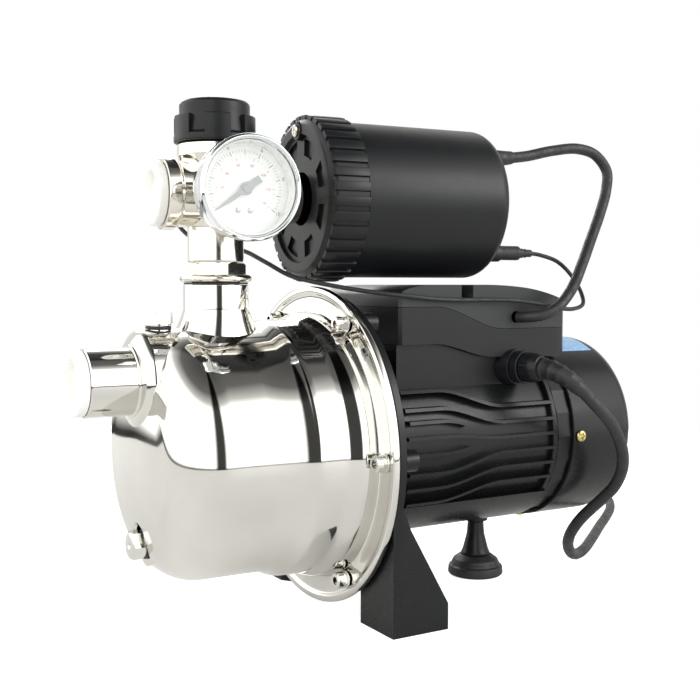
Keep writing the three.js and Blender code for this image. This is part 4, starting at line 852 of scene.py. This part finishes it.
def motor_bracket():
    """The cast adapter: the bolted disc behind the casing and the two legs it stands on."""
    plate = [(2, 27), (2, 104), (2.8, 105), (7.2, 105), (8, 104), (8, 80), (16, 72), (27.7, 66), (27.7, 61),
             (8, 70), (8, 30), (26, 26), (26, 20.3), (11.7, 20.3), (11.7, 15), (4, 10), (-1.9, 10),
             (-1.9, 15), (-9, 15), (-9, 24), (2, 27)]
    disc = turned(plate, "x", SHAFT, 160)
    side = [(2, 0), (44, 0), (44, 17), (15, 68), (8, 86), (2, 86)]
    plan = [(2, 98), (2, 58), (8, 50), (44, 50), (44, 98)]
    legs = []
    for sign in (-1, 1):
        leg = slab(side, "y", *sorted((sign * 50, sign * 98)))
        leg = kept(leg, slab([(x, sign * y) for x, y in plan], "z", -1, 90))
        legs.append(cut(leg, rod("x", -20, 2, 130, SHAFT, 64)))
    spoke = [(25, -2.5), (70, -2.5), (70, 2.5), (25, 2.5)]
    spokes = [about_shaft(slab(spoke, "x", 7, 14), 45 + 90 * i) for i in range(4)]
    bosses = [rod("x", 7, 18, 7, bolt_place(i), 32, 0.8) for i in range(BOLT_COUNT)]
    holes = [rod("x", 1, 19, 3.4, bolt_place(i), 24) for i in range(BOLT_COUNT)]
    whole = cut(joined(disc, *spokes, *bosses, *legs), *holes)
    piece(whole, "bracket_casting", "black_casting", "motor_bracket", edge=0.9)


def motor():
    motor_bracket()
    motor_housing()
    fan_cover()
    cowl_label()
    cowl_screws()
    terminal_box()
    terminal_box_lid()
    lid_screws()
    cable_gland()
    rear_foot()


# ---- fitting, gauge and controller --------------------------------------------------------------

OUTLET_REACH = 37
GAUGE_R = 32.2
DIAL_AT = 55
COLLAR_FRONT = 58.5
COLLAR_REAR = 86
COLLAR_R = 56
GRIP_LANDS = 36
CONTROLLER_R = 53
CONTROLLER_REAR = 199
POINTER_REST = 215
DIAL_SWEEP = 250


def on_fitting(bm, name, slot, stands_for=(), body="pump_body", **more):
    return piece(bm, name, slot, stands_for, body, TO_FITTING, **more)


def five_way():
    """The manifold fitting: an upright barrel, the side outlet, the controller stub and two small ports."""
    upright = [(-43.6, 17.6), (-43, 18.2), (-21, 18.2), (-12, 20.5), (14, 20.5), (24, 24.2), (25.2, 24.6),
               (31.8, 24.6), (33, 23.8), (33, 21.5), (45.4, 21.5), (46, 20.9)]
    outlet = [(-OUTLET_REACH, 22.2), (-OUTLET_REACH + 0.6, 22.8), (-29, 22.8), (-27, 21.2), (0, 20.5)]
    stub = [(0, 18), (24, 18), (26, 16.5), (56, 16.5)]
    ports = [(-34, 9.6), (-33.4, 10), (0, 12), (33.4, 10), (34, 9.6)]
    whole = joined(lathe(upright, "z", FITTING, 96, 1.4, 4), lathe(outlet, "x", FITTING, 96, 0.9),
                   lathe(stub, "x", FITTING, 72, 1), lathe(ports, "y", FITTING))
    whole = cut(whole, rod("z", -44, -30, 14.6, FITTING, 64), rod("z", -31, 30, 11, FITTING, 64),
                rod("z", 28, 48, 16, FITTING, 64), rod("x", -OUTLET_REACH - 1, -14, PORT_BORE_R, FITTING, 64),
                rod("x", -15, 58, 11, FITTING, 64), rod("y", -36, 36, 5, FITTING, 32))
    on_fitting(whole, "five_way", "nickel_plate", "five_way_fitting", edge=0.35)


def top_closure():
    """The screw cap on the top port: a domed drum with six grip lugs round its skirt."""
    base, lugs = FITTING_Z + 33.3, 6
    crown = [(0, 26), (0.6, 26.6), (4.4, 26.6), (5.4, 25.4), (6, 24.2), (18, 22.9), (25, 22.9), (27, 21)]
    drum = lathe(crown, "z", (0, 0, 0), 96, 1.2, 4, base)
    grips = []
    for i in range(lugs):
        middle = 360 * (i + 0.25) / lugs
        rim = arc(0, 0, 26.6, middle - 18, middle + 18, 8)
        grips.append(slab([(0, 0)] + rim, "z", base + 2, base + 17, 0.8, 3))
    whole = cut(joined(drum, *grips), rod("z", base - 1, base + 14, 21.8, steps=96))
    on_fitting(whole, "closure_cap", "black_plastic", "top_cap", "top_closure", edge=0.5)


def gauge():
    case = [(26, 4.7), (38, 4.7), (38, 7.5), (42, 7.5), (43, 12), (44, 28), (46, 30.4), (61, 30.4),
            (61, 28.8), (47.5, 28.8), (46.5, 26)]
    on_fitting(lathe(case, "-y", FITTING, 128, 0.9, 4), "gauge_can", "chrome_plate", "gauge_case")
    rim = [(60, 30.8), (60, 31.7), (61.5, GAUGE_R), (67, GAUGE_R), (69, 30.9), (69, 30.2), (68.2, 29.4),
           (66, 28.8), (66, 30.8)]
    on_fitting(ring(rim, "-y", FITTING, 160, 0.8), "gauge_rim", "chrome_plate", "gauge_bezel")
    glass = [(63.8, 0), (63.8, 30.4), (65.0, 30.4), (65.6, 22), (65.8, 0)]
    on_fitting(turned(glass, "-y", FITTING, 96), "gauge_glass", "clear_lens", "gauge_lens")
    plate = [(DIAL_AT - 1, 2.2), (DIAL_AT - 1, 28.4), (DIAL_AT, 28.4), (DIAL_AT, 2.2)]
    wall = [(DIAL_AT + 0.2, 28.0), (DIAL_AT + 0.2, 28.6), (65.4, 28.6), (65.4, 27.9)]
    dial = together(ring(plate, "-y", FITTING, 128), ring(wall, "-y", FITTING, 128, 0.2, 2))
    on_fitting(dial, "dial_plate", "white_plastic", "gauge_dial")
    dial_scales()
    dial_screws()
    pointer()


def dial_place(distance, degrees, depth=0.12):
    """A spot on the dial, at an angle counted anticlockwise from the right as the dial is read."""
    angle = math.radians(degrees)
    return Vector((distance * math.cos(angle), -DIAL_AT - depth, FITTING_Z + distance * math.sin(angle)))


def tick(inner, outer, degrees, width):
    bar = block(inner, outer, -width / 2, width / 2, 0, 0.12)
    stand = Matrix.Translation((0, -DIAL_AT, FITTING_Z)) @ Matrix.Rotation(-math.radians(degrees), 4, "Y")
    return moved(bar, stand @ Matrix.Rotation(math.pi / 2, 4, "X"))


def number(value, distance, degrees, size):
    """A dial number, cut from a flat sheet."""
    text = bpy.data.curves.new("number", "FONT")
    text.body = str(value)
    text.size = size
    text.align_x = "CENTER"
    text.align_y = "CENTER"
    text.extrude = 0.05
    made = link("number", text)
    bpy.context.view_layer.update()
    graph = bpy.context.evaluated_depsgraph_get()
    mesh = bpy.data.meshes.new_from_object(made.evaluated_get(graph))
    bm = bmesh.new()
    bm.from_mesh(mesh)
    bpy.data.objects.remove(made)
    bpy.data.meshes.remove(mesh)
    return moved(bm, Matrix.Translation(dial_place(distance, degrees)) @ Matrix.Rotation(math.pi / 2, 4, "X"))


def dial_scales():
    """An outer scale from 0 to 10 and a finer inner one from 0 to 140, over the same sweep."""
    def scale(marks, every, reach, long, short, wide, narrow):
        ticks = []
        for i in range(marks + 1):
            start, width = (short, narrow) if i % every else (long, wide)
            ticks.append(tick(start, reach, POINTER_REST - DIAL_SWEEP * i / marks, width))
        return ticks

    outer = scale(50, 5, 23.6, 20.6, 22.0, 0.42, 0.22)
    outer += [number(i, 25.9, POINTER_REST - DIAL_SWEEP * i / 10, 3.4) for i in range(0, 11, 2)]
    on_fitting(together(*outer), "outer_scale", "grey_plastic", material=DIAL_PRINT)
    inner = scale(28, 4, 19.4, 17.4, 18.4, 0.34, 0.2)
    inner += [number(20 * i, 14.6, POINTER_REST - DIAL_SWEEP * i / 7, 2.5) for i in range(8)]
    on_fitting(together(*inner), "inner_scale", "grey_plastic", material=DIAL_PRINT_RED)


def dial_screws():
    heads = []
    z = FITTING_Z - 13
    for side in (-4.6, 3.2):
        button = eased(shifted([(0, 0), (0, 1.9), (0.7, 1.7), (0.9, 0)], DIAL_AT), 0.3, 2)
        slot = block(side - 1.6, side + 1.6, -DIAL_AT - 2, -DIAL_AT - 0.5, z - 0.25, z + 0.25)
        heads.append(cut(turned(button, "-y", (side, 0, z), 32), slot))
    on_fitting(together(*heads), "dial_screws", "bare_steel")


def pointer():
    """The needle: a long tip, a round hub with its button, a square tail and the pin it turns on."""
    half = [(-11.2, -2.3), (-4.2, -2.1), (-3.4, -3.1)] + arc(0, 0, 3.9, -140, -40, 6)
    half += [(4.6, -1.5), (13, -1.2), (22.5, -0.22)]
    blade = slab(half + [(u, -v) for u, v in half[::-1]], "y", -DIAL_AT - 2.4, -DIAL_AT - 1.4, 0.15, 1)
    blade = moved(blade, Matrix.Rotation(-math.radians(POINTER_REST), 4, "Y"))
    button = eased(shifted([(2.2, 0), (2.2, 2.6), (3.4, 2.2), (3.6, 0)], DIAL_AT), 0.4, 3)
    pin = rod("-y", 47.2, DIAL_AT + 2, 1.2, steps=16)
    shape = moved(together(blade, turned(button, "-y", steps=32), pin), Matrix.Translation(FITTING))
    on_fitting(shape, "needle", "grey_plastic", "gauge_pointer", "gauge_needle")


def collar():
    """The ribbed collar: a rounded drum with grip lands, and a recessed face with dark windows."""
    base_r = COLLAR_R - 1.7
    section = [(COLLAR_FRONT, 18), (COLLAR_FRONT, 50), (COLLAR_FRONT + 2.5, 53.4), (COLLAR_FRONT + 5, base_r),
               (COLLAR_REAR, base_r), (COLLAR_REAR, 50.6), (COLLAR_FRONT + 6, 50.6), (COLLAR_FRONT + 6, 18)]
    drum = ring(section, "x", FITTING, 144, 0.9, 3)
    dish = lathe([(-2, 44), (2.6, 42.4)], "x", FITTING, 96, start=COLLAR_FRONT)
    windows = []
    for i in range(8):
        middle = 45 * i + 22.5
        window = arc(0, 0, 40, middle - 14, middle + 14, 6) + arc(0, 0, 29, middle + 12, middle - 12, 6)
        window = slab(window, "x", COLLAR_FRONT - 1, COLLAR_FRONT + 5)
        windows.append(moved(window, Matrix.Translation(FITTING)))
    screw_z = FITTING_Z + 45.5
    screw_at = (0, 0, screw_z)
    pad = rod("x", COLLAR_FRONT - 1, COLLAR_FRONT + 5, 6.4, screw_at, 40, 0.4)
    drum = joined(cut(drum, dish, *windows), pad)
    shapes = [cut(drum, rod("x", COLLAR_FRONT - 3, COLLAR_FRONT + 9, 2.4, screw_at, 24))]
    for i in range(GRIP_LANDS):
        land = block(COLLAR_FRONT + 2.2, COLLAR_REAR, -3.1, 3.1, base_r - 1.2, COLLAR_R)
        rims = [e for e in land.edges if e.verts[0].co.z > base_r and e.verts[1].co.z > base_r]
        bmesh.ops.bevel(land, geom=rims, offset=0.55, offset_type="OFFSET", segments=2, profile=0.5,
                        affect="EDGES", material=-1, clamp_overlap=True)
        turn = Matrix.Rotation(2 * math.pi * (i + 0.5) / GRIP_LANDS, 4, "X")
        shapes.append(moved(land, Matrix.Translation(FITTING) @ turn))
    on_fitting(together(*shapes), "ribbed_collar", "black_plastic", "controller_collar")
    screw = lathe([(-2.6, 3.4), (-2, 4), (-1.2, 4)], "x", screw_at, 40, start=COLLAR_FRONT)
    for long, wide in ((2.3, 0.5), (0.5, 2.3)):
        recess = block(COLLAR_FRONT - 4, COLLAR_FRONT - 1.7, -long, long, screw_z - wide, screw_z + wide)
        screw = cut(screw, recess)
    screw = together(screw, rod("x", COLLAR_FRONT - 1.3, COLLAR_FRONT + 5, 2, screw_at, 24))
    on_fitting(screw, "collar_screw", "nickel_plate", "controller_screw")


def controller():
    """The closed drum behind the collar, the sensor's plug in its end, and the sensor itself."""
    corner, wall = 9, 3
    centre = (CONTROLLER_REAR - corner, CONTROLLER_R - corner)
    neck = COLLAR_FRONT + 6.4
    shoulder = COLLAR_REAR + 0.3
    outline = [(neck, 46), (neck, 50.2), (shoulder, 50.2), (shoulder, CONTROLLER_R - 0.6),
               (shoulder + 0.6, CONTROLLER_R)] + arc(*centre, corner, 90, 0, 14)
    outline += [(CONTROLLER_REAR, 0), (CONTROLLER_REAR - wall, 0)] + arc(*centre, corner - wall, 0, 90, 8)
    outline += [(COLLAR_REAR + 6, CONTROLLER_R - wall), (COLLAR_REAR, 46), (neck, 46)]
    cable_at = (0, -18, FITTING_Z + 33)
    socket_at = (0, -20, FITTING_Z - 35)
    low, high = CONTROLLER_REAR - 8, CONTROLLER_REAR + 2
    shell = cut(turned(outline, "x", FITTING, 144),
                rod("x", low, high, CONTROLLER_CABLE_R + 0.3, cable_at, 40),
                rod("x", low, high, 4.6, socket_at, 40))
    on_fitting(shell, "controller_drum", "black_plastic", "controller_body")
    plug = [(-5, 4.2), (0.3, 4.2), (0.3, 6.4), (9, 6.4), (9.6, 5.2), (26, 5.2), (27, 3.6), (30, 3.5),
            (30.6, 3.0), (33, 3.3), (33.6, 2.8), (38, 2.7)]
    plug = lathe(plug, "x", socket_at, 48, 0.5, start=CONTROLLER_REAR)
    on_fitting(plug, "sensor_connector", "black_rubber", "sensor_plug")
    sensor = [(20, 4.6), (35, 4.6), (35, 9), (41, 9), (42, 7.5), (58, 7.5), (60, 4), (64, 2.4)]
    on_fitting(lathe(sensor, "y", FITTING, 48, 0.7), "sensor_body", "nickel_plate", "pressure_sensor")


def fitting_group():
    five_way()
    thread_cap("outlet_cap_moulding", -OUTLET_REACH, FITTING, "outlet_cap", "outlet_thread_cap", TO_FITTING)
    top_closure()
    gauge()
    collar()
    controller()


# ---- pieces kept from the frame -----------------------------------------------------------------

INNER_FINISHES = {
    "casing_gasket": "black_rubber",
    "jet_nozzle": "brass",
    "venturi_tube": "grey_plastic",
    "diffuser": "grey_plastic",
    "impeller": "brass",
    "shaft_seal_head": "bare_steel",
    "shaft_seal_seat": "white_plastic",
    "front_bearing": "bare_steel",
    "rear_bearing": "bare_steel",
    "motor_shaft": "bare_steel",
    "rotor_core": "bare_steel",
    "stator": "wound_core",
    "rear_end_shield": "black_casting",
    "cooling_fan": "black_plastic",
    "capacitor": "grey_plastic",
}


def inner_pieces():
    for name, slot in INNER_FINISHES.items():
        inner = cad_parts[name]
        inner.data.materials.clear()
        inner.data.materials.append(FINISHES[slot])


# ---- studio -------------------------------------------------------------------------------------

SKY_BRIGHTNESS = 2.3
FLOOR_R = 1.0
FLOOR_GLOW_SEEN = 0.80  # white paper to the eye, dimmer in what the polished casing mirrors
FLOOR_GLOW_MIRRORED = 0.16
# The room as a polished surface mirrors it: brightness by compass turn from -X, and by height.
WALLS = ((0.0, 1.0), (0.180, 1.0), (0.198, 0.03), (0.238, 0.03), (0.254, 1.0), (0.44, 1.0), (0.47, 0.25),
         (0.60, 0.45), (0.80, 0.40), (0.83, 1.0), (1.0, 1.0))
HEIGHTS = ((0.0, 0.30), (0.30, 0.40), (0.41, 0.40), (0.425, 0.04), (0.442, 0.04), (0.454, 1.0), (0.84, 1.0),
           (0.88, 0.35), (0.93, 0.08), (1.0, 0.04))


def levels(tree, stops):
    ramp = tree.nodes.new("ShaderNodeValToRGB")
    while len(ramp.color_ramp.elements) < len(stops):
        ramp.color_ramp.elements.new(0.5)
    for stop, (position, level) in zip(ramp.color_ramp.elements, stops):
        stop.position = position
        stop.color = (level, level, level * 0.985, 1)
    return ramp


def room(tree):
    """Soft white walls with a dark gap where the camera stands, a dark ceiling and a dark skirting."""
    where = tree.nodes.new("ShaderNodeTexCoord")
    split = tree.nodes.new("ShaderNodeSeparateXYZ")
    tree.links.new(where.outputs["Generated"], split.inputs["Vector"])
    turn = tree.nodes.new("ShaderNodeMath")
    turn.operation = "ARCTAN2"
    tree.links.new(split.outputs["Y"], turn.inputs[0])
    tree.links.new(split.outputs["X"], turn.inputs[1])
    compass = tree.nodes.new("ShaderNodeMapRange")
    compass.inputs["From Min"].default_value = -math.pi
    compass.inputs["From Max"].default_value = math.pi
    tree.links.new(turn.outputs["Value"], compass.inputs["Value"])
    walls = levels(tree, WALLS)
    tree.links.new(compass.outputs["Result"], walls.inputs["Fac"])
    height = tree.nodes.new("ShaderNodeMapRange")
    height.inputs["From Min"].default_value = -1
    tree.links.new(split.outputs["Z"], height.inputs["Value"])
    heights = levels(tree, HEIGHTS)
    tree.links.new(height.outputs["Result"], heights.inputs["Fac"])
    both = tree.nodes.new("ShaderNodeMix")
    both.data_type = "RGBA"
    both.blend_type = "MULTIPLY"
    both.inputs["Factor"].default_value = 1
    tree.links.new(walls.outputs["Color"], both.inputs["A"])
    tree.links.new(heights.outputs["Color"], both.inputs["B"])
    glow = tree.nodes.new("ShaderNodeBackground")
    glow.inputs["Strength"].default_value = SKY_BRIGHTNESS
    tree.links.new(both.outputs["Result"], glow.inputs["Color"])
    return glow


def softbox(name, location, size, power, target=(0, 0, 0.16)):
    light = bpy.data.lights.new(name, "AREA")
    light.shape = "RECTANGLE"
    light.size, light.size_y = size
    light.energy = power
    lamp = link(name, light)
    lamp.location = location
    lamp.rotation_euler = (Vector(location) - Vector(target)).to_track_quat("Z", "Y").to_euler()


def floor_paper():
    """A round sheet of pale paper under the pump."""
    bm = bmesh.new()
    bmesh.ops.create_circle(bm, cap_ends=True, segments=96, radius=FLOOR_R)
    bmesh.ops.translate(bm, vec=(-0.05, 0, 0), verts=bm.verts)
    mesh = bpy.data.meshes.new("floor")
    bm.to_mesh(mesh)
    bm.free()
    paper = finish("floor_paper", (0.70, 0.695, 0.68), 0.8, 0, (3, 0.01), (300, 0.02),
                   Emission_Color=(1, 1, 1, 1))
    tree = paper.node_tree
    seen = tree.nodes.new("ShaderNodeLightPath")
    glow = tree.nodes.new("ShaderNodeMapRange")
    glow.inputs["To Min"].default_value = FLOOR_GLOW_MIRRORED
    glow.inputs["To Max"].default_value = FLOOR_GLOW_SEEN
    tree.links.new(seen.outputs["Is Camera Ray"], glow.inputs["Value"])
    tree.links.new(glow.outputs["Result"], tree.nodes["Principled BSDF"].inputs["Emission Strength"])
    mesh.materials.append(paper)
    link("floor", mesh)


def studio():
    world = bpy.data.worlds.new("studio")
    scene.world = world
    world.use_nodes = True
    tree = world.node_tree
    tree.nodes.clear()
    output = tree.nodes.new("ShaderNodeOutputWorld")
    backdrop = tree.nodes.new("ShaderNodeBackground")
    backdrop.inputs["Color"].default_value = (1, 1, 1, 1)
    path = tree.nodes.new("ShaderNodeLightPath")
    choose = tree.nodes.new("ShaderNodeMixShader")
    tree.links.new(path.outputs["Is Camera Ray"], choose.inputs["Fac"])
    tree.links.new(room(tree).outputs["Background"], choose.inputs[1])
    tree.links.new(backdrop.outputs["Background"], choose.inputs[2])
    tree.links.new(choose.outputs["Shader"], output.inputs["Surface"])
    softbox("side_softbox", (0.75, -1.0, 0.75), (0.5, 0.6), 5)
    softbox("back_softbox", (0.2, 1.2, 0.9), (0.8, 0.5), 6)
    floor_paper()
    scene.view_settings.view_transform = "Standard"


hydraulic_end()
motor()
fitting_group()
inner_pieces()
studio()
